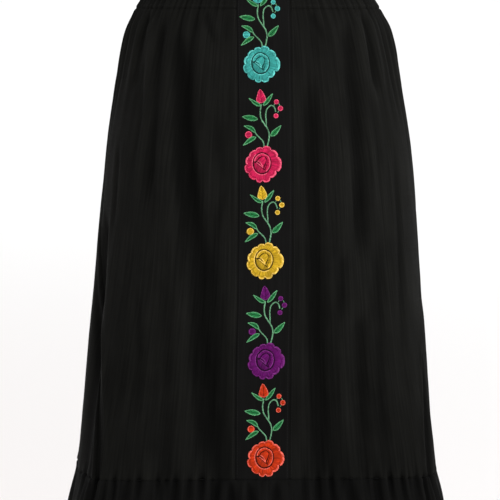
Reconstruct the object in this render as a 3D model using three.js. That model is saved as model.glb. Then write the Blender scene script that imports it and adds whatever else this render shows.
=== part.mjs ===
// A black fiesta dress, pulled on over the head, in the hollow form that it takes when it is worn.
// An embroidered panel runs down the centre front from the round neckline to the ruffle.
// On both sides of it the bodice and the skirt are gathered into an elastic waist.
// A gathered ruffle ends the skirt.
// Lengths are millimetres. Z is up, -Y is the front and +X is the wearer's left.
// The origin is midway between the middles of the two shoulder seams, where the wearer holds the dress up.
import * as THREE from "three";

// The wall of cloth, and the steepest flank of a wave that it is made deeper for.
const CLOTH = 1.6;
const MAX_FLANK = 1.2;
const SEAM_GAP = 0.3;

// Half of the flat centre panel's width, and the width beside it in which the gathers and folds die out.
const PANEL_HALF = 30;
const PANEL_CALM = 26;

// The neckline is an arc of an ellipse, and an armhole is an egg whose blunt end is at the underarm.
const NECK_POINT = { x: 95, z: 14 };
const SHOULDER_TIP = { x: 166, z: -18 };
const UNDERARM_Z = -185;
const FRONT_NECK_DROP = 80;
const BACK_NECK_DROP = 52;
const NECK_ARC = Math.PI / 3;
const ARMHOLE_REACH = { front: 62, back: 53 };
const ARMHOLE_EGG = 0.2;

const BAND_TOP = -392;
const BAND_FOOT = -420;
const SKIRT_FOOT = -938;
const HEM = -1090;

const WAIST_GATHERS = 48;
const RUFFLE_GATHERS = 56;
const HEM_WAVES = 37;

// A square front holds more cloth at its corners: its angles are spread this much, so that gathers stay even.
const CORNER_SPREAD = 0.11;

// Even gathers would look machined, so their spacing drifts as it goes round the body.
const DRIFTS = [
  { turns: 5, swing: 0.9 },
  { turns: 11, swing: 0.6 },
];

// The form of the dress: half of its width, and how far it reaches forwards and backwards, at each height.
// "side" is the angle of the side seam from the centre front, and "lean" moves the middle sideways.
// "square" is how flat the front hangs between the side seams: 0 is round, and more makes a tighter corner.
const FORM = [
  { z: 14, half: 95, front: 50, back: 54, side: 90, square: 0, lean: 0 },
  { z: 0, half: 130, front: 64, back: 68, side: 90, square: 0, lean: 0 },
  { z: -18, half: 166, front: 78, back: 80, side: 90, square: 0, lean: 0 },
  { z: -45, half: 177, front: 93, back: 92, side: 90, square: 0, lean: 0 },
  { z: -110, half: 171, front: 110, back: 101, side: 90, square: 0, lean: 0 },
  { z: -185, half: 160, front: 122, back: 103, side: 90, square: 0, lean: 0 },
  { z: -240, half: 158, front: 127, back: 101, side: 90, square: 0, lean: 0 },
  { z: -320, half: 151, front: 119, back: 100, side: 90, square: 0, lean: 0 },
  { z: -365, half: 146, front: 110, back: 100, side: 90, square: 0, lean: 0.4 },
  { z: -392, half: 136, front: 101, back: 96, side: 90, square: 0, lean: 0.8 },
  { z: -405, half: 131.5, front: 98, back: 94, side: 90, square: 0, lean: 1 },
  { z: -420, half: 138.5, front: 102, back: 98, side: 90, square: 0, lean: 1.2 },
  { z: -445, half: 149.5, front: 109, back: 110, side: 90, square: 0, lean: 1.3 },
  { z: -491, half: 159.5, front: 117, back: 124, side: 89, square: 0.15, lean: 1.6 },
  { z: -583, half: 174.5, front: 129, back: 140, side: 85.5, square: 0.6, lean: 1.8 },
  { z: -721, half: 186.3, front: 143, back: 152, side: 72.5, square: 1.4, lean: 0.2 },
  { z: -813, half: 193, front: 151, back: 159, side: 60.5, square: 2.2, lean: -2.2 },
  { z: -938, half: 203, front: 160, back: 168, side: 52, square: 3.6, lean: -3.4 },
  { z: -985, half: 212.5, front: 167, back: 176, side: 52, square: 3.6, lean: -3.2 },
  { z: -1040, half: 220, front: 173, back: 183, side: 52, square: 3.6, lean: -3 },
  { z: -1090, half: 226, front: 178, back: 189, side: 52, square: 3.6, lean: -3 },
];

// How deep the gathers stand at each height, and how far the ruffle's own waves swing.
const GATHER_DEPTH = [
  { z: -250, waist: 0, seam: 0, hem: 0 },
  { z: -300, waist: 0.5, seam: 0, hem: 0 },
  { z: -350, waist: 2.0, seam: 0, hem: 0 },
  { z: -392, waist: 1.8, seam: 0, hem: 0 },
  { z: -406, waist: 1.2, seam: 0, hem: 0 },
  { z: -420, waist: 1.6, seam: 0, hem: 0 },
  { z: -445, waist: 3.2, seam: 0, hem: 0 },
  { z: -491, waist: 2.0, seam: 0, hem: 0 },
  { z: -560, waist: 0.6, seam: 0, hem: 0 },
  { z: -640, waist: 0, seam: 0, hem: 0 },
  { z: -937.5, waist: 0, seam: 0, hem: 0 },
  { z: -938.1, waist: 0, seam: 1.2, hem: 0 },
  { z: -965, waist: 0, seam: 3.4, hem: 1.0 },
  { z: -1025, waist: 0, seam: 2.0, hem: 4.5 },
  { z: -1090, waist: 0, seam: 0.8, hem: 7.5 },
];

// The long folds of the skirt. Each is a trough that runs from one height to another and wanders from its
// "top" angle through "middle" to "foot" (degrees from the centre front, positive to the wearer's left),
// with its depth and half of its width in millimetres.
const FOLDS = [
  { top: -41, middle: -26, foot: -16, from: -426, to: -960, depth: 6.5, spread: 13 },
  { top: -50, middle: -44, foot: -43, from: -424, to: -650, depth: 4.5, spread: 9 },
  { top: -62, middle: -60, foot: -58, from: -424, to: -520, depth: 3.0, spread: 8 },
  { top: -72, middle: -64, foot: -60, from: -640, to: -990, depth: 6.5, spread: 13 },
  { top: 16, middle: 19, foot: 17, from: -510, to: -940, depth: 5.0, spread: 10 },
  { top: 40, middle: 36, foot: 34, from: -424, to: -700, depth: 5.5, spread: 10 },
  { top: 54, middle: 52, foot: 50, from: -424, to: -520, depth: 3.5, spread: 8 },
  { top: 30, middle: 30, foot: 31, from: -790, to: -960, depth: 5.0, spread: 10 },
  { top: 74, middle: 68, foot: 66, from: -740, to: -1040, depth: 5.5, spread: 14 },
  { top: 104, middle: 108, foot: 110, from: -424, to: -780, depth: 5.0, spread: 12 },
  { top: 128, middle: 133, foot: 136, from: -440, to: -960, depth: 6.5, spread: 14 },
  { top: 152, middle: 154, foot: 157, from: -424, to: -620, depth: 4.5, spread: 10 },
  { top: 172, middle: 176, foot: 178, from: -520, to: -950, depth: 5.5, spread: 13 },
  { top: -164, middle: -160, foot: -158, from: -424, to: -720, depth: 5.0, spread: 11 },
  { top: -140, middle: -137, foot: -139, from: -470, to: -960, depth: 6.5, spread: 14 },
  { top: -112, middle: -116, foot: -118, from: -424, to: -700, depth: 5.0, spread: 12 },
];

// Heights of the rows of points in each tier.
const SKIRT_ROWS = [BAND_FOOT, -430, -447, -478, -530, -610, -710, -820, SKIRT_FOOT];
const RUFFLE_ROWS = [SKIRT_FOOT, -966, -1022, HEM];
const BAND_ROWS = [BAND_TOP, -406, BAND_FOOT];
const PANEL_ROWS = [-105, -150, -205, -260, -320, -360, ...BAND_ROWS.slice(0, -1), ...SKIRT_ROWS];
const ARMHOLE_ROWS = 6;
const BODICE_SIDE_ROWS = [-230, -285, -340, BAND_TOP];
const BODICE_ROWS = ARMHOLE_ROWS + BODICE_SIDE_ROWS.length;

// Columns of points across each piece. Those of half a bodice end on the neckline or on the shoulder seam.
const NECK_COLUMNS = 14;
const SHOULDER_COLUMNS = 14;
const HALF_BODICE = NECK_COLUMNS + SHOULDER_COLUMNS;
const COLUMNS = {
  panel: 4,
  bandFront: 36,
  bandBack: 84,
  skirtFront: 38,
  skirtBack: 88,
  ruffleFront: 84,
  ruffleBack: 132,
};

const CLOTH_FINISHES = {
  body: new THREE.MeshStandardMaterial({ color: 0x141413, roughness: 0.85, metalness: 0 }),
  panel: new THREE.MeshStandardMaterial({ color: 0x161516, roughness: 0.8, metalness: 0 }),
  ruffle: new THREE.MeshStandardMaterial({ color: 0x121212, roughness: 0.88, metalness: 0 }),
};

function mix(a, b, share) {
  return a + (b - a) * share;
}

function ease(low, high, value) {
  const t = Math.min(1, Math.max(0, (value - low) / (high - low)));
  return t * t * (3 - 2 * t);
}

// A column of a table at any height, on a smooth line through its rows.
function read(table, column, z) {
  const last = table.length - 1;
  if (z >= table[0].z) return table[0][column];
  if (z <= table[last].z) return table[last][column];
  const i = table.findIndex((row) => row.z <= z) - 1;
  const slope = (j) => {
    if (j === 0 || j === last) return 0;
    const before = (table[j][column] - table[j - 1][column]) / (table[j].z - table[j - 1].z);
    const after = (table[j + 1][column] - table[j][column]) / (table[j + 1].z - table[j].z);
    return before * after <= 0 ? 0 : (2 * before * after) / (before + after);
  };
  const [a, b] = [table[i], table[i + 1]];
  const step = b.z - a.z;
  const t = (z - a.z) / step;
  const [t2, t3] = [t * t, t * t * t];
  return (
    (2 * t3 - 3 * t2 + 1) * a[column] +
    (t3 - 2 * t2 + t) * step * slope(i) +
    (3 * t2 - 2 * t3) * b[column] +
    (t3 - t2) * step * slope(i + 1)
  );
}

function sideSeam(z) {
  return THREE.MathUtils.degToRad(read(FORM, "side", z));
}

// How much further round a spot of the front stands where the front is square.
function cornerTurn(angle, z) {
  const spread = Math.cos(angle) > 0 ? CORNER_SPREAD * read(FORM, "square", z) : 0;
  return spread * Math.sin(angle) ** 2 * Math.sin(2 * angle);
}

// A point of the smooth form. The angle runs from the centre front towards the wearer's left, in radians.
function formPoint(angle, z) {
  const turn = angle + cornerTurn(angle, z);
  const square = Math.max(0.01, read(FORM, "square", z));
  const ahead = (read(FORM, "front", z) * Math.tanh(square * Math.cos(turn))) / Math.tanh(square);
  const y = Math.cos(turn) > 0 ? -ahead : -read(FORM, "back", z) * Math.cos(turn);
  return new THREE.Vector3(read(FORM, "half", z) * Math.sin(turn) + read(FORM, "lean", z), y, z);
}

function formNormal(angle, z) {
  const [turn, drop] = [0.01, 1];
  const across = formPoint(angle + turn, z).sub(formPoint(angle - turn, z));
  const along = formPoint(angle, z + drop).sub(formPoint(angle, z - drop));
  return across.cross(along).normalize();
}

// The angle of the spot on the front that lies this far from the middle.
function angleAt(x, z) {
  const turn = Math.asin(Math.min(1, Math.max(-1, x / read(FORM, "half", z))));
  return turn - cornerTurn(turn, z);
}

function wave(angle, count, start) {
  const add = (sum, { turns, swing }, i) => sum + swing * Math.sin(turns * angle + start * (i + 1));
  return Math.sin(DRIFTS.reduce(add, count * angle));
}

// How far one long fold moves the cloth in or out at a point: a trough between two low ridges,
// which starts within the first eighth of its length and fades over the last quarter.
function foldDepth(fold, angle, z) {
  const share = (z - fold.from) / (fold.to - fold.from);
  if (share <= 0 || share >= 1) return 0;
  const middle = mix(fold.top, fold.middle, Math.min(1, share * 2));
  const centre = THREE.MathUtils.degToRad(mix(middle, fold.foot, Math.max(0, share * 2 - 1)));
  const turn = Math.atan2(Math.sin(angle - centre), Math.cos(angle - centre));
  const away = (turn * read(FORM, "half", z)) / fold.spread;
  const strength = ease(0, 0.125, share) * ease(1, 0.75, share);
  const trough = Math.exp(-away * away);
  const ridges = Math.exp(-((Math.abs(away) - 2) ** 2));
  return fold.depth * strength * (0.4 * ridges - trough);
}

// All that moves the cloth off the smooth form. The centre panel hangs flat.
function drape(angle, z) {
  const fromMiddle = Math.abs(read(FORM, "half", z) * Math.sin(angle));
  const besidePanel = Math.cos(angle) > 0 && z > SKIRT_FOOT;
  const free = besidePanel ? ease(0, PANEL_CALM, fromMiddle - PANEL_HALF) : 1;
  const gathers =
    read(GATHER_DEPTH, "waist", z) * wave(angle, WAIST_GATHERS, 0.4) +
    read(GATHER_DEPTH, "seam", z) * wave(angle, RUFFLE_GATHERS, 1.7) +
    read(GATHER_DEPTH, "hem", z) * wave(angle, HEM_WAVES, 2.9);
  const folds = FOLDS.reduce((sum, fold) => sum + foldDepth(fold, angle, z), 0);
  return free * (gathers + folds);
}

// The length on the form that one radian covers at this spot.
function lengthPerTurn(angle, z) {
  const turn = 0.001;
  return formPoint(angle + turn, z).distanceTo(formPoint(angle - turn, z)) / (2 * turn);
}

// The outer and inner points of the cloth at one spot. Below the arms the wall is measured level,
// so that the cut edges of two tiers stay level with each other. It is deeper on the flanks of a wave,
// where it would otherwise come out thinner than the cloth.
function clothAt(angle, z) {
  const normal = formNormal(angle, z);
  const level = new THREE.Vector3(normal.x, normal.y, 0).normalize();
  const outer = formPoint(angle, z).addScaledVector(level, drape(angle, z));
  const turn = 0.5 / lengthPerTurn(angle, z);
  const flank = Math.min(MAX_FLANK, Math.abs(drape(angle + turn, z) - drape(angle - turn, z)));
  const depth = CLOTH * Math.hypot(1, flank);
  const inner = outer.clone().addScaledVector(z > UNDERARM_Z ? normal : level, -depth);
  return { outer, inner };
}

// A closed wall of cloth from a grid of spots: its outside, its inside and its four cut edges.
// Each four-sided facet is split along its shorter diagonal, which suits the slanting ones at the armholes.
function clothWall(name, finish, columns, rows, spotAt) {
  const index = [];
  const width = columns + 1;
  const layer = width * (rows + 1);
  const spots = [];
  for (let r = 0; r <= rows; r++) {
    for (let c = 0; c <= columns; c++) spots.push(spotAt(c / columns, r));
  }
  const points = [...spots.map((spot) => spot.outer), ...spots.map((spot) => spot.inner)];
  const quad = (a, b, c, d) => {
    const first = points[a].distanceTo(points[c]) <= points[b].distanceTo(points[d]);
    index.push(...(first ? [a, b, c, a, c, d] : [a, b, d, b, c, d]));
  };
  for (let r = 0; r < rows; r++) {
    for (let c = 0; c < columns; c++) {
      const a = r * width + c;
      quad(a, a + width, a + width + 1, a + 1);
      quad(layer + a, layer + a + 1, layer + a + width + 1, layer + a + width);
    }
  }
  const edge = (a, b) => quad(a, b, layer + b, layer + a);
  for (let c = 0; c < columns; c++) {
    edge(c, c + 1);
    edge(rows * width + c + 1, rows * width + c);
  }
  for (let r = 0; r < rows; r++) {
    edge((r + 1) * width, r * width);
    edge(r * width + columns, (r + 1) * width + columns);
  }
  const geometry = new THREE.BufferGeometry();
  geometry.setFromPoints(points);
  geometry.setIndex(index);
  geometry.computeVertexNormals();
  const mesh = new THREE.Mesh(geometry, finish);
  mesh.name = name;
  return mesh;
}

// The angle of a cut beside a seam: half of the gap is left on each side of it.
function besideSeam(angle, z, side) {
  return angle + (side * SEAM_GAP) / 2 / lengthPerTurn(angle, z);
}

// The front panels start at the centre panel's edge.
function panelSeam(z) {
  return angleAt(PANEL_HALF + SEAM_GAP / 2, z);
}

// A tier piece of a front side, between the centre panel and the side seam. hand is 1 on the wearer's left.
function frontTier(name, finish, columns, heights, hand) {
  return clothWall(name, finish, columns, heights.length - 1, (share, row) => {
    const z = heights[row];
    const u = hand > 0 ? share : 1 - share;
    const angle = mix(panelSeam(z), besideSeam(sideSeam(z), z, -1), u);
    return clothAt(hand * angle, z);
  });
}

// A tier piece that runs from side seam to side seam, round the back or across the front.
function acrossTier(name, finish, columns, heights, facing) {
  return clothWall(name, finish, columns, heights.length - 1, (share, row) => {
    const z = heights[row];
    const seam = besideSeam(sideSeam(z), z, facing === "back" ? 1 : -1);
    const angle = facing === "back" ? mix(seam, 2 * Math.PI - seam, share) : mix(-seam, seam, share);
    return clothAt(angle, z);
  });
}

// Rows of a tier with the seam gap taken off its upper and lower cut.
function cutRows(rows, above, below) {
  const heights = [...rows];
  heights[0] -= above ? SEAM_GAP / 2 : 0;
  heights[heights.length - 1] += below ? SEAM_GAP / 2 : 0;
  return heights;
}

// The neckline is a round scoop between the two neck points. Its arc is measured from the centre.
function necklinePoint(arc, drop) {
  const rise = (Math.cos(arc) - Math.cos(NECK_ARC)) / (1 - Math.cos(NECK_ARC));
  return { x: (NECK_POINT.x * Math.sin(arc)) / Math.sin(NECK_ARC), z: NECK_POINT.z - drop * rise };
}

function neckArcAt(x) {
  return Math.asin((x * Math.sin(NECK_ARC)) / NECK_POINT.x);
}

// Where a column of half a bodice starts: on the neckline or on the shoulder seam.
// The columns crowd beside the shoulder, where the neckline turns fastest.
function topEdge(column, startX, drop) {
  if (column <= NECK_COLUMNS) {
    const share = 1 - (1 - column / NECK_COLUMNS) ** 1.5;
    return necklinePoint(mix(neckArcAt(startX), NECK_ARC, share), drop);
  }
  const z = mix(NECK_POINT.z, SHOULDER_TIP.z, (column - NECK_COLUMNS) / SHOULDER_COLUMNS);
  return { x: read(FORM, "half", z), z };
}

// Where a row of half a bodice ends: on the armhole, an egg-shaped hole as seen from the side,
// or on the side seam below it.
function outerEdge(row, facing) {
  if (row > ARMHOLE_ROWS) {
    const z = BODICE_SIDE_ROWS[row - ARMHOLE_ROWS - 1];
    return { x: read(FORM, "half", z), z };
  }
  const turn = (Math.PI * row) / ARMHOLE_ROWS;
  const z = mix(SHOULDER_TIP.z, UNDERARM_Z, (1 - Math.cos(turn)) / 2);
  const reach = ARMHOLE_REACH[facing] * Math.sin(turn) * (1 - ARMHOLE_EGG * Math.cos(turn));
  return { x: read(FORM, "half", z) * Math.sqrt(1 - (reach / read(FORM, facing, z)) ** 2), z };
}

// A spot of half a bodice. Columns run from the centre to the side seam and rows from the top to the waist.
function bodiceSpot(column, row, startX, drop, facing) {
  const foot = BAND_TOP + SEAM_GAP / 2;
  const across = column / HALF_BODICE;
  const top = topEdge(column, startX, drop);
  const side = outerEdge(row, facing);
  const down = (SHOULDER_TIP.z - side.z) / (SHOULDER_TIP.z - BAND_TOP);
  const footX = read(FORM, "half", foot) * Math.sin(mix(angleAt(startX, foot), Math.PI / 2, across));
  const scoop = mix(SHOULDER_TIP.x, read(FORM, "half", foot), down) - side.x;
  const z = mix(top.z, foot, down);
  const x = mix(top.x, footX, down) - scoop * across;
  return { angle: Math.min(angleAt(x, z), besideSeam(Math.PI / 2, z, -1)), z };
}

function bodiceFront(name, hand) {
  return clothWall(name, CLOTH_FINISHES.body, HALF_BODICE, BODICE_ROWS, (share, row) => {
    const column = HALF_BODICE * (hand > 0 ? share : 1 - share);
    const { angle, z } = bodiceSpot(column, row, PANEL_HALF + SEAM_GAP / 2, FRONT_NECK_DROP, "front");
    return clothAt(hand * angle, z);
  });
}

function bodiceBack(name) {
  return clothWall(name, CLOTH_FINISHES.body, 2 * HALF_BODICE, BODICE_ROWS, (share, row) => {
    const column = HALF_BODICE * Math.abs(1 - 2 * share);
    const { angle, z } = bodiceSpot(column, row, 0, BACK_NECK_DROP, "back");
    return clothAt(share < 0.5 ? Math.PI - angle : Math.PI + angle, z);
  });
}

function centrePanel(name) {
  const heights = cutRows(PANEL_ROWS, false, true);
  const reach = PANEL_HALF - SEAM_GAP / 2;
  return clothWall(name, CLOTH_FINISHES.panel, COLUMNS.panel, heights.length, (share, row) => {
    const x = mix(-reach, reach, share);
    const z = row === 0 ? necklinePoint(neckArcAt(x), FRONT_NECK_DROP).z : heights[row - 1];
    return clothAt(angleAt(x, z), z);
  });
}

const bandRows = cutRows(BAND_ROWS, true, true);
const skirtRows = cutRows(SKIRT_ROWS, true, true);
const ruffleRows = cutRows(RUFFLE_ROWS, true, false);

const dress = new THREE.Group();
dress.add(
  centrePanel("centre_panel"),
  bodiceFront("bodice_front_left", 1),
  bodiceFront("bodice_front_right", -1),
  bodiceBack("bodice_back"),
  frontTier("waistband_front_left", CLOTH_FINISHES.body, COLUMNS.bandFront, bandRows, 1),
  frontTier("waistband_front_right", CLOTH_FINISHES.body, COLUMNS.bandFront, bandRows, -1),
  acrossTier("waistband_back", CLOTH_FINISHES.body, COLUMNS.bandBack, bandRows, "back"),
  frontTier("skirt_front_left", CLOTH_FINISHES.body, COLUMNS.skirtFront, skirtRows, 1),
  frontTier("skirt_front_right", CLOTH_FINISHES.body, COLUMNS.skirtFront, skirtRows, -1),
  acrossTier("skirt_back", CLOTH_FINISHES.body, COLUMNS.skirtBack, skirtRows, "back"),
  acrossTier("ruffle_front", CLOTH_FINISHES.ruffle, COLUMNS.ruffleFront, ruffleRows, "front"),
  acrossTier("ruffle_back", CLOTH_FINISHES.ruffle, COLUMNS.ruffleBack, ruffleRows, "back"),
);

export default dress;
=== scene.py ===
"""A black fiesta dress in its worn, hollow form, dressed over its CAD frame.

Each cut piece is a thin shell of cloth on the form of its solid, with creases placed one by one.
The sewing is modelled stitch by stitch: satin stitch roses down the centre panel, and topstitching.
Tables are in millimetres and degrees. Angles run from the centre front to the wearer's left.
"""

import functools
import math

import bmesh
import bpy
import numpy as np
from bpy.props import FloatProperty, FloatVectorProperty, IntProperty, PointerProperty
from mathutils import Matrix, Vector


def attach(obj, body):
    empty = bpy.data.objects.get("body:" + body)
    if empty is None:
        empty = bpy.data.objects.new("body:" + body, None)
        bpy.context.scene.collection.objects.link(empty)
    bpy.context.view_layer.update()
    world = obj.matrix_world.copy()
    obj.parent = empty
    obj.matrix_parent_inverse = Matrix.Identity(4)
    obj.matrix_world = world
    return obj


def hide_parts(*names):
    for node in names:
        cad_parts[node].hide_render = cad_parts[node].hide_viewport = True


bl_info = {
    "name": "Fiesta Dress",
    "version": (1, 0, 0),
    "blender": (4, 5, 0),
    "location": "3D View > Sidebar > Fiesta Dress",
    "description": "Cloth, folds, stitching and rose embroidery of a black fiesta dress",
    "category": "Object",
}

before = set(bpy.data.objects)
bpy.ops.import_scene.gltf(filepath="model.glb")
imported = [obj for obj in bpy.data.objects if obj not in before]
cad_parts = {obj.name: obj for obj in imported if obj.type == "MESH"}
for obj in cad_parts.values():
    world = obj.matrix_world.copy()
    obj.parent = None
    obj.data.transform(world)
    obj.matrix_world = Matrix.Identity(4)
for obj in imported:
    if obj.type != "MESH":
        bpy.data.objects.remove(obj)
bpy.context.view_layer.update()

MM = 0.001
BODY = "root"

# The cut of the dress.
PANEL_HALF = 30.0
# The width beside the panel over which the folds fade to nothing.
PANEL_CALM = 26.0
# How far the shells of two pieces lap at a seam, so that no light shows through it.
SEAM_LAP = 0.5
NECK_POINT = (95.0, 14.0)
SHOULDER_TIP = (166.0, -18.0)
UNDERARM_Z = -185.0
FRONT_NECK_DROP = 80.0
BACK_NECK_DROP = 52.0
NECK_ARC = math.pi / 3
ARMHOLE_REACH = {"front": 62.0, "back": 53.0}
# How much wider the armhole is below its middle than above it.
ARMHOLE_EGG = 0.2
BAND_TOP = -392.0
BAND_FOOT = -420.0
SKIRT_FOOT = -938.0
HEM = -1090.0

# The form of the dress at each height: half of its width, its reach to the front and back,
# the angle of the side seam, how square the front hangs, and how far the middle leans sideways.
HALF, FRONT, BACK, SIDE, SQUARE, LEAN = 1, 2, 3, 4, 5, 6
FORM = np.array([
    (14, 95, 50, 54, 90, 0, 0),
    (0, 130, 64, 68, 90, 0, 0),
    (-18, 166, 78, 80, 90, 0, 0),
    (-45, 177, 93, 92, 90, 0, 0),
    (-110, 171, 110, 101, 90, 0, 0),
    (-185, 160, 122, 103, 90, 0, 0),
    (-240, 158, 127, 101, 90, 0, 0),
    (-320, 151, 119, 100, 90, 0, 0),
    (-365, 146, 110, 100, 90, 0, 0.4),
    (-392, 136, 101, 96, 90, 0, 0.8),
    (-405, 131.5, 98, 94, 90, 0, 1),
    (-420, 138.5, 102, 98, 90, 0, 1.2),
    (-445, 149.5, 109, 110, 90, 0, 1.3),
    (-491, 159.5, 117, 124, 89, 0.15, 1.6),
    (-583, 174.5, 129, 140, 85.5, 0.6, 1.8),
    (-721, 186.3, 143, 152, 72.5, 1.4, 0.2),
    (-813, 193, 151, 159, 60.5, 2.2, -2.2),
    (-938, 203, 160, 168, 52, 3.6, -3.4),
    (-985, 212.5, 167, 176, 52, 3.6, -3.2),
    (-1040, 220, 173, 183, 52, 3.6, -3),
    (-1090, 226, 178, 189, 52, 3.6, -3),
], dtype=float)

# How deep the gathers stand at each height: those of the waist, of the ruffle's seam and of its hem.
GATHERS = np.array([
    (-250, 0, 0, 0),
    (-300, 0.5, 0, 0),
    (-350, 2.0, 0, 0),
    (-392, 1.8, 0, 0),
    (-406, 1.2, 0, 0),
    (-420, 1.6, 0, 0),
    (-445, 3.2, 0, 0),
    (-491, 2.0, 0, 0),
    (-560, 0.6, 0, 0),
    (-640, 0, 0, 0),
    (-937.5, 0, 0, 0),
    (-938.1, 0, 1.2, 0),
    (-965, 0, 3.4, 1.0),
    (-1025, 0, 2.0, 4.5),
    (-1090, 0, 0.8, 7.5),
], dtype=float)
# How many gathers of each kind there are round the dress, and where they start.
GATHER_WAVES = ((48, 0.4), (56, 1.7), (37, 2.9))
# Slow waves that draw the gathers together and apart: how many round the dress, and how far.
DRIFTS = ((5, 0.9), (11, 0.6))
# How far the points of the square front spread towards its corners.
CORNER_SPREAD = 0.11

# The long folds that the solids have too:
# the angle at the top, middle and foot, the two heights, the depth and half of the width.
FOLDS = (
    (-39, -22, -14, -426, -990, 8.5, 14),
    (-50, -44, -43, -424, -650, 4.5, 9),
    (-62, -60, -58, -424, -520, 3.0, 8),
    (-72, -64, -60, -640, -990, 6.5, 13),
    (17, 17, 18, -480, -985, 7.5, 11),
    (40, 36, 33, -424, -720, 5.5, 10),
    (54, 52, 50, -424, -520, 3.5, 8),
    (32, 29.5, 29.5, -745, -985, 4.8, 8.5),
    (74, 68, 66, -740, -1040, 5.5, 14),
    (104, 108, 110, -424, -780, 5.0, 12),
    (128, 133, 136, -440, -960, 6.5, 14),
    (152, 154, 157, -424, -620, 4.5, 10),
    (172, 176, 178, -520, -950, 5.5, 13),
    (-164, -160, -158, -424, -720, 5.0, 11),
    (-140, -137, -139, -470, -960, 6.5, 14),
    (-112, -116, -118, -424, -700, 5.0, 12),
)

# Finer creases: depth, half of the width, and the angle and height of the points that each runs through.
CREASES = (
    (1.8, 4.0, ((-27, -421), (-24, -444), (-18, -468))),
    (1.5, 4.5, ((-14, -566), (-14, -620), (-16, -650), (-18, -700))),
    (2.6, 9.0, ((-19, -520), (-17, -610), (-16, -690), (-14.5, -810))),
    (3.6, 10.0, ((-14.5, -690), (-12, -800), (-10.5, -930), (-9.5, -1180))),
    (2.4, 8.0, ((25, -500), (24.5, -640), (23.5, -800), (23, -1180))),
    (1.4, 4.5, ((-10, -800), (-11, -845), (-13, -890))),
    (1.8, 5.0, ((27, -680), (26, -730), (26, -800))),
    (1.5, 4.0, ((22, -421), (24, -440), (27, -462))),
    (1.6, 4.5, ((-34, -560), (-30, -640), (-28, -740), (-29, -810))),
    (1.3, 4.0, ((-56, -470), (-52, -540), (-52, -620))),
    (1.4, 5.0, ((45, -500), (45, -590), (42, -680))),
    (1.5, 5.0, ((56, -560), (53, -660), (48, -780), (45, -850))),
    (2.2, 9.0, ((41, -640), (39, -740), (36, -850), (34, -1100))),
    (1.8, 9.0, ((-32, -640), (-31, -765), (-28, -850), (-26, -1120))),
    (1.2, 4.0, ((66, -430), (66, -500), (68, -570))),
    (1.4, 5.0, ((-66, -560), (-62, -650), (-61, -730))),
    (1.5, 5.0, ((96, -440), (95, -520), (92, -610))),
    (1.6, 5.5, ((118, -430), (120, -540), (119, -640), (121, -720))),
    (1.3, 4.5, ((142, -480), (144, -560), (147, -680))),
    (1.6, 5.5, ((163, -425), (165, -500), (164, -590), (167, -650))),
    (1.4, 5.0, ((-172, -430), (-170, -520), (-171, -600))),
    (1.5, 5.5, ((-150, -425), (-149, -500), (-151, -600), (-149, -690))),
    (1.5, 5.0, ((-127, -440), (-125, -540), (-127, -640), (-126, -720))),
    (1.4, 5.0, ((-100, -430), (-98, -520), (-99, -600))),
    (1.3, 5.0, ((147, -700), (148, -790), (146, -880))),
    (1.5, 5.5, ((-150, -760), (-151, -840), (-148, -915))),
    (1.4, 5.0, ((-122, -740), (-124, -820), (-125, -910))),
    (1.4, 5.0, ((118, -800), (117, -860), (119, -925))),
    (1.3, 5.0, ((-44, -720), (-40, -800), (-39, -900))),
)
# Beside the side seams: the side, how far behind the seam in degrees, the depth, negative for a ridge,
# and half of the width.
SIDE_CREASES = (
    (1, 2.4, 5.0, 5.5), (1, -1.4, -0.9, 2.6),
    (-1, -1.0, 4.6, 6.0), (-1, -5.0, -1.3, 2.8), (-1, 3.6, 4.4, 6.5),
)
BODICE_CREASES = (
    (1.6, 5.0, ((-48, -391), (-50, -352), (-54, -310))),
    (1.2, 4.0, ((-33, -391), (-32, -360), (-34, -322))),
    (1.5, 5.0, ((-64, -391), (-66, -340), (-71, -285))),
    (1.2, 4.5, ((-22, -391), (-21, -372), (-22, -340))),
    (1.6, 5.0, ((44, -391), (47, -350), (50, -300))),
    (1.2, 4.0, ((29, -391), (29, -366), (31, -333))),
    (1.4, 5.0, ((61, -391), (64, -345), (70, -300))),
    (2.2, 8.0, ((-86, -300), (-76, -255), (-66, -222))),
    (2.0, 8.0, ((85, -290), (76, -248), (67, -214))),
    (1.8, 8.0, ((-76, -205), (-66, -190), (-57, -160))),
    (1.8, 8.0, ((76, -200), (66, -186), (58, -152))),
    (1.6, 6.0, ((150, -391), (149, -350), (151, -300))),
    (1.3, 5.0, ((168, -391), (169, -362), (167, -322))),
    (1.4, 5.0, ((133, -391), (131, -352), (127, -308))),
    (1.6, 6.0, ((-157, -391), (-156, -345), (-159, -290))),
    (1.3, 5.0, ((-139, -391), (-138, -358), (-135, -318))),
    (1.4, 5.5, ((-120, -391), (-117, -350), (-112, -306))),
    (2.0, 9.0, ((98, -292), (108, -256), (120, -232))),
    (2.0, 9.0, ((-98, -296), (-109, -262), (-121, -240))),
    (1.5, 9.0, ((118, -96), (128, -130), (134, -180))),
    (1.5, 9.0, ((-118, -92), (-127, -128), (-134, -176))),
)
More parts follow.
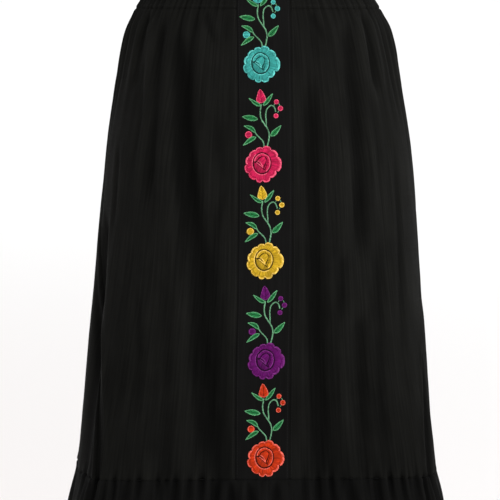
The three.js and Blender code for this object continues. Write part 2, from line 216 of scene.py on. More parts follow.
# The ruffle's creases start as puckers at its seam: the angle, the depth, half of the width and the height
# that each reaches.
RUFFLE_CREASES = (
    (-50.5, 2.8, 2.6, -1030), (-43.0, 2.6, 2.6, -1018), (-38.5, 1.6, 2.2, -985), (-35.0, 2.8, 2.8, -1040),
    (-29.5, 2.0, 2.6, -1000), (-25.0, 2.6, 2.8, -1022), (-21.5, 1.4, 2.2, -978), (-18.0, 3.6, 3.0, -1060),
    (-13.0, 1.6, 2.4, -984), (-9.5, 2.6, 2.6, -1026), (-4.5, 2.2, 2.6, -1004), (-0.5, 1.4, 2.2, -974),
    (4.5, 1.8, 2.4, -990), (8.0, 1.4, 2.2, -976), (12.5, 2.0, 2.6, -1008), (16.5, 2.6, 2.8, -1034),
    (20.0, 2.2, 2.4, -1000), (23.5, 1.4, 2.2, -980), (25.5, 2.4, 2.6, -1020), (32.5, 3.6, 3.0, -1062),
    (36.5, 2.6, 2.6, -1016), (40.5, 2.4, 2.6, -1036), (45.5, 1.8, 2.4, -992), (50.0, 2.6, 2.8, -1024),
    (58.0, 2.4, 3.0, -1040), (66.5, 1.8, 2.8, -990), (71.0, 2.6, 3.2, -1022), (82.5, 1.6, 2.8, -984),
    (88.0, 3.0, 3.4, -1052), (99.0, 1.8, 3.0, -1004), (104.5, 2.2, 2.6, -1026), (117.0, 1.6, 2.8, -980),
    (121.5, 2.8, 3.2, -1044), (133.0, 1.8, 2.6, -998), (139.5, 2.4, 3.2, -1030), (146.0, 3.2, 3.4, -1058),
    (158.5, 1.6, 3.0, -986), (163.0, 2.2, 2.6, -1012), (174.0, 2.8, 3.4, -1046), (-179.5, 1.6, 2.4, -982),
    (-168.5, 2.2, 3.2, -1020), (-163.0, 3.2, 3.0, -1054), (-151.0, 1.8, 3.0, -994), (-147.0, 2.4, 2.8, -1034),
    (-135.5, 1.6, 2.8, -984), (-130.0, 2.8, 3.2, -1044), (-124.5, 1.8, 2.4, -1002), (-112.0, 2.2, 3.2, -1022),
    (-106.0, 3.2, 3.4, -1050), (-94.5, 1.6, 2.8, -988), (-89.0, 2.2, 3.0, -1014), (-79.0, 2.8, 3.4, -1042),
    (-71.0, 1.8, 2.6, -996), (-62.0, 2.4, 3.2, -1030), (-57.5, 1.6, 2.4, -984),
)

# Distances from an edge, in millimetres, at which a piece of cloth has points of its own.
SEAM_STATIONS = (0, 0.6, 1.3, 2.2, 3.4, 5.0)
HEM_STATIONS = (0, 0.5, 1.2, 2.4, 4.0, 5.8, 6.8, 7.6, 8.4, 9.4, 10.8)
HEM_TURNING = 8.4
# An edge shapes this many rows or columns of points beside it.
EDGE_BAND = 26
# The points of each piece. Of the centre panel: the columns, the rows and the length that the rows are
# spaced along. Of half a bodice: the columns and rows.
PANEL_GRID = (26, 250, 872)
BODICE_GRID = (84, 92)
# The share of a bodice's rows that the armhole takes, and the lengths of its shoulder and side seams.
ARMHOLE_ROWS = 0.45
SHOULDER_LENGTH = 72
SIDE_LENGTH = 207
# Of a tier: its rows, then the columns of a front piece and of a back one, each with the length that they
# are spaced along.
TIER_GRIDS = {
    "waistband": (18, (130, 150), (300, 370)),
    "skirt": (112, (132, 200), (310, 640)),
    "ruffle": (56, (240, 420), (380, 700)),
}

# How much painted shade darkens the cloth towards the foot of the skirt, and the height at which this starts.
FOOT_SHADE = 0.19
FOOT_SHADE_TOP = -640
# The length of cloth that one degree round the dress takes up on the pieces' UV maps.
UV_PER_DEGREE = 3.2

# Relief without a pattern is read from a square of random heights, laid round the dress in cells.
LATTICE = 256
HIP_ROUND = 1150

# Stitching beside the panel's seams, inside the hems and inside the edges of the casing.
PANEL_STITCH_INSET = 2.4
PANEL_STITCH_TOP = -70
HEM_STITCH_INSET = 7.4
CASING_STITCH_INSET = 3.2
# How many points each line of stitches is worked out at.
PANEL_LINE, NECK_LINE, ARMHOLE_LINE, WAIST_LINE, HEM_LINE = 500, 200, 150, 1400, 1800
# How far the thread lies over the cloth, and how far each point along a stitch stands over or under that.
THREAD_PROUD = {"skirt": 0.05, "bodice": 0.1, "ruffle": 0.1}
STITCH_ARCH = (-0.25, 0.12, 0.2, 0.12, -0.25)
# The share of the pitch that lies free before a stitch, and the share that the stitch covers.
STITCH_START = 0.12
STITCH_COVER = 0.76

SIDES = (("left", 1), ("right", -1))

# The stage, in metres.
FLOOR_HALF = 90
# Where the floor's painted shadow starts to fade, and where the floor is white.
FLOOR_FADE = (1.6, 11)
SURROUNDINGS_STRENGTH = 1.03
KEY_SIZE = 1.6
KEY_PLACE = (1.9, -2.2, 0.5)
KEY_TARGET = (0, 0, -0.6)


class DressColours(bpy.types.PropertyGroup):
    """Colours of the cloth and of the threads."""

    cloth: FloatVectorProperty(
        name="Cloth", description="Black cotton of the dress", subtype="COLOR", size=3,
        min=0, max=1, default=(0.0054, 0.0054, 0.0048))
    ruffle: FloatVectorProperty(
        name="Ruffle cloth", description="Black cotton of the ruffle", subtype="COLOR", size=3,
        min=0, max=1, default=(0.0042, 0.0042, 0.0040))
    panel: FloatVectorProperty(
        name="Panel cloth", description="Black ground of the embroidered panel", subtype="COLOR", size=3,
        min=0, max=1, default=(0.0044, 0.0043, 0.0042))
    stitching: FloatVectorProperty(
        name="Stitching", description="Black sewing thread", subtype="COLOR", size=3,
        min=0, max=1, default=(0.0060, 0.0060, 0.0056))
    leaf: FloatVectorProperty(
        name="Leaf thread", description="Green of the leaves", subtype="COLOR", size=3,
        min=0, max=1, default=(0.013, 0.14, 0.040))
    # Painted highlight: a paler green laid along the leaves.
    leaf_edge: FloatVectorProperty(
        name="Leaf edge thread", description="Pale green along the leaves", subtype="COLOR", size=3,
        min=0, max=1, default=(0.090, 0.285, 0.130))
    stem: FloatVectorProperty(
        name="Stem thread", description="Grey green of the stems", subtype="COLOR", size=3,
        min=0, max=1, default=(0.108, 0.265, 0.145))
    turquoise: FloatVectorProperty(
        name="Turquoise rose", description="Thread of the turquoise roses", subtype="COLOR", size=3,
        min=0, max=1, default=(0.032, 0.258, 0.235))
    pink: FloatVectorProperty(
        name="Pink rose", description="Thread of the pink roses", subtype="COLOR", size=3,
        min=0, max=1, default=(0.40, 0.009, 0.056))
    yellow: FloatVectorProperty(
        name="Yellow rose", description="Thread of the yellow roses", subtype="COLOR", size=3,
        min=0, max=1, default=(0.43, 0.265, 0.012))
    purple: FloatVectorProperty(
        name="Purple rose", description="Thread of the purple roses", subtype="COLOR", size=3,
        min=0, max=1, default=(0.082, 0.0028, 0.083))
    orange: FloatVectorProperty(
        name="Orange rose", description="Thread of the orange roses", subtype="COLOR", size=3,
        min=0, max=1, default=(0.38, 0.024, 0.0035))


class DressSizes(bpy.types.PropertyGroup):
    """Sizes of the cloth and of the sewing."""

    cloth_thickness: FloatProperty(
        name="Cloth thickness", description="Thickness of a single layer of cotton",
        unit="LENGTH", min=0.0003, max=0.0015, default=0.0009)
    crease_strength: FloatProperty(
        name="Crease strength", description="Share of their listed depth that the fine creases have",
        min=0, max=1.5, default=1)
    seam_roll: FloatProperty(
        name="Seam roll", description="How far the cloth rolls inwards at a seam",
        unit="LENGTH", min=0, max=0.003, default=0.0011)
    stitch_pitch: FloatProperty(
        name="Stitch pitch", description="Distance from one stitch of topstitching to the next",
        unit="LENGTH", min=0.002, max=0.006, default=0.0031)
    stitch_width: FloatProperty(
        name="Stitch width", description="Width of the sewing thread",
        unit="LENGTH", min=0.0003, max=0.001, default=0.0006)
    satin_height: FloatProperty(
        name="Satin height", description="How high the satin stitches stand over the panel",
        unit="LENGTH", min=0.0003, max=0.002, default=0.0010)
    spray_count: IntProperty(
        name="Sprays", description="Number of embroidered rose sprays up the panel",
        min=1, max=8, default=8)


class DressStage(bpy.types.PropertyGroup):
    """The floor, the light and the camera."""

    floor_height: FloatProperty(
        name="Floor height", description="Height of the floor, below the shoulders",
        unit="LENGTH", max=-1.1, default=-1.4)
    # The floor's colour near the dress, greyer as painted shadow; it fades to white far away.
    floor_colour: FloatVectorProperty(
        name="Floor", description="Colour of the floor", subtype="COLOR", size=3,
        min=0, max=1, default=(0.856, 0.82, 0.812))
    surroundings: FloatVectorProperty(
        name="Surroundings", description="Colour of the light from all round", subtype="COLOR", size=3,
        min=0, max=1, default=(1.0, 1.0, 1.0))
    key_power: FloatProperty(
        name="Key light", description="Power of the soft light at the wearer's left front",
        unit="POWER", min=0, default=60)
    camera_place: FloatVectorProperty(
        name="Camera", description="Where the camera stands", subtype="TRANSLATION", unit="LENGTH", size=3,
        default=(-0.2015, -3.494, -0.42))
    camera_target: FloatVectorProperty(
        name="Camera target", description="The point in the middle of the picture",
        subtype="TRANSLATION", unit="LENGTH", size=3, default=(-0.0081, 0.0, -0.6967))
    lens: FloatProperty(
        name="Lens", description="Focal length for a 36 mm sensor, in millimetres", min=20, default=220.3)


def colours():
    return bpy.context.scene.dress_colours


def sizes():
    return bpy.context.scene.dress_sizes


# The form of the dress.


def mix(a, b, share):
    return a + (b - a) * share


def ease(low, high, value):
    t = np.clip((value - low) / (high - low), 0, 1)
    return t * t * (3 - 2 * t)


def bump(value, width):
    return np.exp(-(value / width) ** 2)


def read(table, column, z):
    """A column of a table at any height, on a smooth line through its rows."""
    heights, values = table[:, 0], table[:, column]
    rise = np.diff(values) / np.diff(heights)
    steady = rise[:-1] * rise[1:] > 0
    slope = np.zeros(len(values))
    slope[1:-1][steady] = 2 * (rise[:-1] * rise[1:])[steady] / (rise[:-1] + rise[1:])[steady]
    z = np.clip(z, heights[-1], heights[0])
    i = np.clip(np.searchsorted(-heights, -z, side="right") - 1, 0, len(heights) - 2)
    step = heights[i + 1] - heights[i]
    t = (z - heights[i]) / step
    return (
        (2 * t**3 - 3 * t**2 + 1) * values[i]
        + (t**3 - 2 * t**2 + t) * step * slope[i]
        + (3 * t**2 - 2 * t**3) * values[i + 1]
        + (t**3 - t**2) * step * slope[i + 1]
    )


def corner_turn(angle, z):
    """How much further round a spot of the front stands where the front is square."""
    spread = np.where(np.cos(angle) > 0, CORNER_SPREAD * read(FORM, SQUARE, z), 0)
    return spread * np.sin(angle) ** 2 * np.sin(2 * angle)


def form_point(angle, z):
    """A point of the smooth form, before the cloth is gathered and creased."""
    angle, z = np.broadcast_arrays(np.asarray(angle, float), np.asarray(z, float))
    turn = angle + corner_turn(angle, z)
    ahead = np.cos(turn)
    square = np.maximum(0.01, read(FORM, SQUARE, z))
    front = read(FORM, FRONT, z) * np.tanh(square * ahead) / np.tanh(square)
    x = read(FORM, HALF, z) * np.sin(turn) + read(FORM, LEAN, z)
    return np.stack([x, np.where(ahead > 0, -front, -read(FORM, BACK, z) * ahead), z], axis=-1)


def unit(vectors):
    return vectors / np.linalg.norm(vectors, axis=-1, keepdims=True)


def form_normal(angle, z):
    across = form_point(angle + 0.01, z) - form_point(angle - 0.01, z)
    along = form_point(angle, z + 1) - form_point(angle, z - 1)
    return unit(np.cross(across, along))


def length_per_turn(angle, z):
    """The length on the form that one radian covers at this spot."""
    turn = 0.001
    step = form_point(angle + turn, z) - form_point(angle - turn, z)
    return np.linalg.norm(step, axis=-1) / (2 * turn)


def angle_at(x, z):
    turn = np.arcsin(np.clip(x / read(FORM, HALF, z), -1, 1))
    return turn - corner_turn(turn, z)


def turn_from(angle, centre):
    return np.arctan2(np.sin(angle - centre), np.cos(angle - centre))


def gather_wave(angle, count, start, loose=0.0):
    """Gathers round the dress. loose moves each of them from its place."""
    drift = sum(swing * np.sin(turns * angle + start * (i + 1)) for i, (turns, swing) in enumerate(DRIFTS))
    return np.sin(count * angle + drift + loose * unevenness(angle, 0 * angle, 24, 50 + count))


def fold_depth(fold, angle, z):
    """How far one long fold moves the cloth: a trough between two low ridges."""
    top, middle, foot, start, end, depth, spread = fold
    share = np.clip((z - start) / (end - start), 0, 1)
    centre = np.radians(np.interp(share, (0, 0.5, 1), (top, middle, foot)))
    away = turn_from(angle, centre) * read(FORM, HALF, z) / spread
    strength = ease(0, 0.125, share) * (1 - ease(0.75, 1, share))
    return depth * strength * (0.4 * bump(np.abs(away) - 2, 1) - bump(away, 1))


def calm_by_panel(angle, z):
    """0 on the flat centre panel, rising to 1 where the cloth beside it and below it hangs free."""
    from_middle = np.abs(read(FORM, HALF, z) * np.sin(angle))
    calm = np.where(np.cos(angle) > 0, ease(0, PANEL_CALM, from_middle - PANEL_HALF), 1)
    return mix(calm, 1, ease(0, 14, SKIRT_FOOT - z))


@functools.lru_cache
def lattice(seed):
    return np.random.default_rng(seed).uniform(-1, 1, (LATTICE, LATTICE))


def unevenness(angle, z, cell, seed):
    """Soft irregular relief from -1 to 1 over the whole dress, with cells of about this many millimetres."""
    heights = lattice(seed)
    around = round(HIP_ROUND / cell)
    x = (angle / (2 * math.pi) % 1) * around
    y = -z / cell
    i, j = np.floor(x).astype(int), np.floor(y).astype(int)
    fx, fy = ease(0, 1, x - i), ease(0, 1, y - j)

    def height(di, dj):
        return heights[(i + di) % around, (j + dj) % LATTICE]

    upper = mix(height(0, 0), height(1, 0), fx)
    return mix(upper, mix(height(0, 1), height(1, 1), fx), fy)


def gathered(i, angle, z):
    """One row of gathers on the solids' form. Some are deep and run on, and some die out soon."""
    count, start = GATHER_WAVES[i]
    seam = BAND_FOOT if i == 0 else SKIRT_FOOT
    reach = 0.75 + 0.45 * unevenness(angle, 0 * z, 34, 30 + i)
    strength = 0.55 + 0.45 * unevenness(angle, 0 * z, 27, 20 + i)
    below = np.where(z < seam, seam - (seam - z) / reach, z) if i == 0 else z
    return strength * read(GATHERS, i + 1, below) * gather_wave(angle, count, start, 1.3)


def drape(angle, z):
    """The gathers and long folds that the solids have."""
    gathers = sum(gathered(i, angle, z) for i in range(len(GATHER_WAVES)))
    folds = sum(fold_depth(fold, angle, z) for fold in FOLDS)
    return calm_by_panel(angle, z) * (gathers + folds)


# The finer relief that only shows in the picture.


def crease_relief(crease, angle, z):
    """One listed crease: a soft trough through its points, deepest in the first half of its length."""
    depth, width, points = crease
    degrees, heights = np.array(points, float).T
    share = (z - heights[0]) / (heights[-1] - heights[0])
    along = np.clip(share, 0, 1)
    centre = np.interp(along, (heights - heights[0]) / (heights[-1] - heights[0]), np.radians(degrees))
    away = turn_from(angle, centre) * read(FORM, HALF, z) / width
    strength = ease(0, 0.2, share) * (1 - ease(0.45, 1, share))
    return depth * strength * (0.35 * bump(np.abs(away) - 2.1, 0.9) - bump(away, 1))


def ruffle_crease(crease, angle, z):
    """A crease of the ruffle: a narrow trough from the seam, which widens and fades as it falls."""
    degrees, depth, width, reach = crease
    share = np.clip((SKIRT_FOOT - z) / (SKIRT_FOOT - reach), 0, 1)
    centre = math.radians(degrees) + 0.02 * math.sin(degrees) * share
    away = turn_from(angle, centre) * read(FORM, HALF, z) / (width * (1 + 1.3 * share))
    strength = (1 - share) ** 1.2 * (z <= SKIRT_FOOT)
    return depth * strength * (0.3 * bump(np.abs(away) - 2, 0.9) - bump(away, 1))


def side_creases(angle, z):
    """The grooves along the side seams and the low ridges before them, where the skirt turns its corner."""
    relief = 0 * z
    for hand, behind, depth, width in SIDE_CREASES:
        away = turn_from(angle, hand * (side_seam(z) + math.radians(behind))) * read(FORM, HALF, z) / width
        relief = relief - depth * bump(away, 1)
    return relief * ease(560, 860, -z)


def waist_puckers(angle, z):
    """Small puckers that the elastic draws in, above, in and below the waistband."""
    below = BAND_FOOT - z
    above = z - BAND_TOP
    length = 34 + 22 * unevenness(angle, 0 * z, 30, 5)
    above_fade = np.where(above > 0, np.exp(-above / (length * 0.8)), 1)
    fade = np.where(below > 0, np.exp(-below / length), above_fade)
    fine = gather_wave(angle, 96, 0.8, 2) + 0.6 * gather_wave(angle, 139, 2.2, 2)
    return 0.55 * fade * fine * (0.75 + 0.5 * unevenness(angle, 0 * z, 45, 6))


def ruffle_puckers(angle, z):
    """Small puckers at the ruffle's seam, between its creases and just above it."""
    below = np.where(z > SKIRT_FOOT, 2.6 * (z - SKIRT_FOOT), SKIRT_FOOT - z)
    length = 18 + 12 * unevenness(angle, 0 * z, 21, 7)
    fine = gather_wave(angle, 118, 0.3, 2.5) + 0.6 * gather_wave(angle, 171, 1.9, 2.5)
    return fine * (0.6 + 0.5 * unevenness(angle, 0 * z, 33, 8)) * np.exp(-below / length)


def fine_relief(angle, z, tier):
    """What the scene adds to the solids' form. The skirt's and the ruffle's relief meet at their seam."""
    strength = sizes().crease_strength
    calm = calm_by_panel(angle, z)
    relief = 0.35 * unevenness(angle, z * 0.35, 26, 1) + 0.22 * unevenness(angle, z * 0.5, 11, 2)
    seam = SKIRT_FOOT + 0 * z
    if tier == "ruffle":
        below = SKIRT_FOOT - z
        calm = calm_by_panel(angle, seam + 0.01)
        creases = ruffle_puckers(angle, z) + sum(ruffle_crease(c, angle, z) for c in RUFFLE_CREASES)
        above = side_creases(angle, seam) + sum(crease_relief(c, angle, seam) for c in CREASES)
        relief = relief + mix(1, calm, np.exp(-below / 7)) * creases + calm * np.exp(-below / 14) * above
        return strength * relief
    relief = relief + waist_puckers(angle, z) + side_creases(angle, z) + ruffle_puckers(angle, z)
    creases = CREASES if tier == "skirt" else BODICE_CREASES
    relief = relief + sum(crease_relief(c, angle, z) for c in creases)
    if tier == "skirt":
        near = np.exp((SKIRT_FOOT - z) / 6)
        relief = relief + near * sum(ruffle_crease(c, angle, seam) for c in RUFFLE_CREASES)
    return strength * (calm * relief + (1 - calm) * 0.15 * unevenness(angle, z, 18, 3))


def cloth_spot(angle, z, tier, proud=0.0):
    """A point of the outside of the cloth, in millimetres."""
    normal = form_normal(angle, z)
    level = unit(normal * (1, 1, 0))
    relief = fine_relief(angle, z, tier) + proud
    return form_point(angle, z) + level * drape(angle, z)[..., None] + normal * relief[..., None]


def edge_distance(points, line):
    """How far each point lies from an edge, which is given as a line of points."""
    nearest = np.full(points.shape[:-1], 1e9)
    for a, b in zip(line[:-1], line[1:]):
        step = b - a
        share = np.clip(((points - a) @ step) / max(step @ step, 1e-9), 0, 1)
        nearest = np.minimum(nearest, np.linalg.norm(points - a - share[..., None] * step, axis=-1))
    return nearest


def edge_relief(distance, kind):
    """What an edge does to the cloth: a seam rolls inwards, and a hem is a second layer turned under."""
    if kind == "seam":
        roll = sizes().seam_roll / MM
        return -roll * bump(distance, 1.4) + 0.22 * bump(distance - 4.2, 2.2)
    turned = 0.32 * (1 - ease(HEM_TURNING - 0.8, HEM_TURNING + 0.8, distance))
    return turned - 0.28 * bump(distance - HEM_STITCH_INSET, 0.7) - 0.7 * bump(distance, 0.8)


def stations(length, count, start="seam", end="seam"):
    """Shares from 0 to 1 along a piece: crowded at both edges, even between them."""
    crowded = {"seam": SEAM_STATIONS, "hem": HEM_STATIONS, "fold": (0,)}
    first = np.array(crowded[start], float)
    last = length - np.array(crowded[end], float)[::-1]
    between = max(2, count - len(first) - len(last) + 2)
    middle = np.linspace(first[-1], last[0], between)
    return np.concatenate([first[:-1], middle, last[1:]]) / length


# Meshes.


def grid_mesh(name, grids):
    """A mesh of flat grids, one for each (columns, rows), with the column and row of every point."""
    bm = bmesh.new()
    for columns, rows in grids:
        bmesh.ops.create_grid(bm, x_segments=columns, y_segments=rows, size=0.5)
    mesh = bpy.data.meshes.new(name)
    bm.to_mesh(mesh)
    bm.free()
    flat = np.empty(3 * len(mesh.vertices))
    mesh.vertices.foreach_get("co", flat)
    flat = flat.reshape(-1, 3)
    spots, start = [], 0
    for columns, rows in grids:
        count = (columns + 1) * (rows + 1)
        part = flat[start:start + count]
        spots.append(np.rint((part[:, :2] + 0.5) * (columns, rows)).astype(int))
        start += count
    return mesh, spots


def set_points(mesh, points):
    """Moves the mesh's points to these places, given in millimetres."""
    mesh.vertices.foreach_set("co", (np.concatenate(points) * MM).ravel())
    mesh.polygons.foreach_set("use_smooth", np.ones(len(mesh.polygons), bool))
    mesh.update()


def set_uv(mesh, uvs):
    """Gives the mesh a UV map in metres from one pair for each point."""
    uvs = np.concatenate(uvs) * MM
    corner = np.empty(len(mesh.loops), np.int32)
    mesh.loops.foreach_get("vertex_index", corner)
    layer = mesh.uv_layers.new(name="UVMap")
    layer.data.foreach_set("uv", uvs[corner].ravel().astype(np.float32))


def set_painted_shading(mesh, painted_shading):
    """Keeps the painted shading of each point: painted highlight on the crests of folds, and painted shade in
    their troughs and towards the foot.
    """
    layer = mesh.attributes.new("painted_shading", "FLOAT", "POINT")
    layer.data.foreach_set("value", painted_shading.astype(np.float32))


def placed(name, mesh, slot, *materials):
    """An object for a finished mesh, which hangs with the dress, with these materials; its slot is not used.
    """
    piece = bpy.data.objects.new(name, mesh)
    bpy.context.collection.objects.link(piece)
    for material in materials:
        mesh.materials.append(material)
    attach(piece, BODY)
    return piece


def cloth_piece(node, spots, tier, edges, cloth):
    """One cut piece of cloth as a thin shell, from the angle and height of each point of its grid.

    The rows of spots run from the foot up. edges lists what its foot, its top and its first and last
    column are: each kind of edge, a seam or a hem, with the part of that side that it takes up.
    """
    angle, z = spots
    rows, columns = angle.shape
    base = form_point(angle, z)
    relief = np.zeros(angle.shape)
    border = {"foot": base[0], "top": base[-1], "first": base[:, 0], "last": base[:, -1]}
    near = {
        "foot": np.s_[:EDGE_BAND], "top": np.s_[-EDGE_BAND:],
        "first": np.s_[:, :EDGE_BAND], "last": np.s_[:, -EDGE_BAND:],
    }
    for place, kinds in edges.items():
        for kind, part in kinds:
            distance = edge_distance(base[near[place]], border[place][part])
            relief[near[place]] += edge_relief(distance, kind)
    points = cloth_spot(angle, z, tier, relief)
    name = f"dress_{node}"
    mesh, (spot,) = grid_mesh(name, [(columns - 1, rows - 1)])
    column, row = spot[:, 0], spot[:, 1]
    set_points(mesh, [points[row, column]])
    set_uv(mesh, [np.stack([np.degrees(angle) * UV_PER_DEGREE, z], axis=-1)[row, column]])
    # Painted shading: the cloth's colour is made lighter on the crests of folds and darker in their troughs,
    # as painted highlight and painted shade.
    height = drape(angle, z) * 0.5 + fine_relief(angle, z, tier)
    painted_shading = 0.5 + np.where(height > 0, 0.22, 0.5) * np.tanh(height / 2.5)
    # Painted shade: the cloth is darker towards the foot of the skirt.
    painted_shading = painted_shading - FOOT_SHADE * ease(-FOOT_SHADE_TOP, -SKIRT_FOOT, -z)
    set_painted_shading(mesh, painted_shading[row, column])
    piece = placed(name, mesh, *cloth)
    shell = piece.modifiers.new("Cloth", "SOLIDIFY")
    shell.thickness = sizes().cloth_thickness
    shell.offset = -1
    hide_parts(node)
    return piece


def side_seam(z):
    return np.radians(read(FORM, SIDE, z))


def beside_seam(angle, z, side):
    """The angle of an edge at a seam, which half of the lap carries past it."""
    return angle - side * SEAM_LAP / 2 / length_per_turn(angle, z)


def tier_heights(top, foot, count, foot_kind="seam"):
    """Heights of the rows of a tier, from its foot up."""
    low = foot - (SEAM_LAP / 2 if foot_kind == "seam" else 0)
    high = top + SEAM_LAP / 2
    return low + (high - low) * stations(high - low, count, foot_kind, "seam")


def front_tier(heights, columns, length, hand):
    """Spots of a piece beside the centre panel, from the panel seam to the side seam."""
    share = stations(length, columns)
    z = heights[:, None] + 0 * share
    start = angle_at(PANEL_HALF - SEAM_LAP / 2, z)
    angle = mix(start, beside_seam(side_seam(z), z, -1), share)
    return (angle, z) if hand > 0 else (-angle[:, ::-1], z)


def across_tier(heights, columns, length, facing):
    """Spots of a piece that runs from side seam to side seam."""
    share = stations(length, columns)
    z = heights[:, None] + 0 * share
    if facing == "back":
        seam = beside_seam(side_seam(z), z, 1)
        return mix(seam, 2 * math.pi - seam, share), z
    seam = beside_seam(side_seam(z), z, -1)
    return mix(-seam, seam, share), z


ALL = slice(None)
SEAMED = {place: [("seam", ALL)] for place in ("foot", "top", "first", "last")}


# The bodice, whose columns of points run from the waist up to the neckline and the shoulder seam.


def neckline(arc, drop):
    rise = (np.cos(arc) - math.cos(NECK_ARC)) / (1 - math.cos(NECK_ARC))
    return NECK_POINT[0] * np.sin(arc) / math.sin(NECK_ARC), NECK_POINT[1] - drop * rise


def neck_arc_at(x):
    return math.asin(x * math.sin(NECK_ARC) / NECK_POINT[0])


def armhole_edge(turn, facing):
    """The armhole's edge, from the shoulder tip at turn 0 to the underarm at turn pi."""
    z = mix(SHOULDER_TIP[1], UNDERARM_Z, (1 - np.cos(turn)) / 2)
    reach = ARMHOLE_REACH[facing] * np.sin(turn) * (1 - ARMHOLE_EGG * np.cos(turn))
    depth = read(FORM, FRONT if facing == "front" else BACK, z)
    return read(FORM, HALF, z) * np.sqrt(1 - (reach / depth) ** 2), z


def bodice_spots(columns, rows, start_x, drop, facing):
    """Angles from the centre and heights of half a bodice, from the foot up and from the centre out."""
    neck_columns = columns // 2
    arc = mix(neck_arc_at(start_x), NECK_ARC, 1 - (1 - np.linspace(0, 1, neck_columns + 1)) ** 1.5)
    neck_x, neck_z = neckline(arc, drop)
    shoulder_share = stations(SHOULDER_LENGTH, columns - neck_columns, "fold", "hem")[1:]
    shoulder_z = mix(NECK_POINT[1], SHOULDER_TIP[1], shoulder_share)
    top_x = np.concatenate([neck_x, read(FORM, HALF, shoulder_z)])
    top_z = np.concatenate([neck_z, shoulder_z])
    across = np.linspace(0, 1, len(top_x))
    arm_rows = round(rows * ARMHOLE_ROWS)
    side_x, side_z = armhole_edge(np.linspace(0, math.pi, arm_rows + 1), facing)
    foot = BAND_TOP - SEAM_LAP / 2
    low_z = mix(UNDERARM_Z, foot, stations(SIDE_LENGTH, rows - arm_rows, "fold", "seam")[1:])
    side_x = np.concatenate([side_x, read(FORM, HALF, low_z)])[:, None]
    side_z = np.concatenate([side_z, low_z])[:, None]
    down = (SHOULDER_TIP[1] - side_z) / (SHOULDER_TIP[1] - foot)
    foot_half = read(FORM, HALF, np.array(foot))
    foot_x = foot_half * np.sin(mix(angle_at(start_x, foot), math.pi / 2, across))
    scoop = mix(SHOULDER_TIP[0], foot_half, down) - side_x
    z = mix(top_z, foot, down)
    x = mix(top_x, foot_x, down) - scoop * across
    angle = np.minimum(angle_at(x, z), beside_seam(math.pi / 2 + 0 * z, z, -1))
    return angle[::-1], z[::-1], len(neck_x), rows - arm_rows


# Finishes. The patterns of the cloth and threads follow their own UV maps, whose unit is the metre.


def node(tree, kind, **values):
    made = tree.nodes.new(kind)
    for name, value in values.items():
        if hasattr(made, name):
            setattr(made, name, value)
        else:
            made.inputs[name].default_value = value
    return made


def mapped(tree, place, scale, location=(0, 0, 0)):
    """The coordinates of a pattern, with its size along each direction."""
    mapping = node(tree, "ShaderNodeMapping", Location=location, Scale=scale)
    tree.links.new(place, mapping.inputs["Vector"])
    return mapping.outputs["Vector"]


def stretched_noise(tree, uv, scale, detail, roughness=0.5):
    """Noise whose grain has its own size along each direction of the cloth."""
    noise = node(tree, "ShaderNodeTexNoise", Scale=1.0, Detail=detail, Roughness=roughness)
    tree.links.new(mapped(tree, uv, scale), noise.inputs["Vector"])
    return noise.outputs["Fac"]


def ranged(tree, value, low, high, start=0.3, end=0.7):
    """A value of noise, spread over a range."""
    spread = node(tree, "ShaderNodeMapRange")
    for name, number in (("From Min", start), ("From Max", end), ("To Min", low), ("To Max", high)):
        spread.inputs[name].default_value = number
    tree.links.new(value, spread.inputs["Value"])
    return spread.outputs["Result"]


def maths(tree, operation, a, b):
    made = node(tree, "ShaderNodeMath", operation=operation)
    for place, value in enumerate((a, b)):
        if isinstance(value, (int, float)):
            made.inputs[place].default_value = value
        else:
            tree.links.new(value, made.inputs[place])
    return made.outputs[0]


def tinted(tree, colour, amount):
    """The colour made lighter or darker by an amount that varies over the surface."""
    tint = node(tree, "ShaderNodeVectorMath", operation="SCALE")
    tint.inputs[0].default_value = colour[:3]
    tree.links.new(amount, tint.inputs["Scale"])
    return tint.outputs["Vector"]


def raised(tree, shader, height, strength, distance):
    """Gives the surface a fine relief from a value of height."""
    bumps = node(tree, "ShaderNodeBump", Strength=strength, Distance=distance)
    tree.links.new(height, bumps.inputs["Height"])
    tree.links.new(bumps.outputs["Normal"], shader.inputs["Normal"])


def new_material(name):
    """The material of this name and, if it is new, its node tree and shader."""
    material = bpy.data.materials.get(name)
    if material:
        return material, None, None
    material = bpy.data.materials.new(name)
    material.use_nodes = True
    tree = material.node_tree
    return material, tree, tree.nodes["Principled BSDF"]


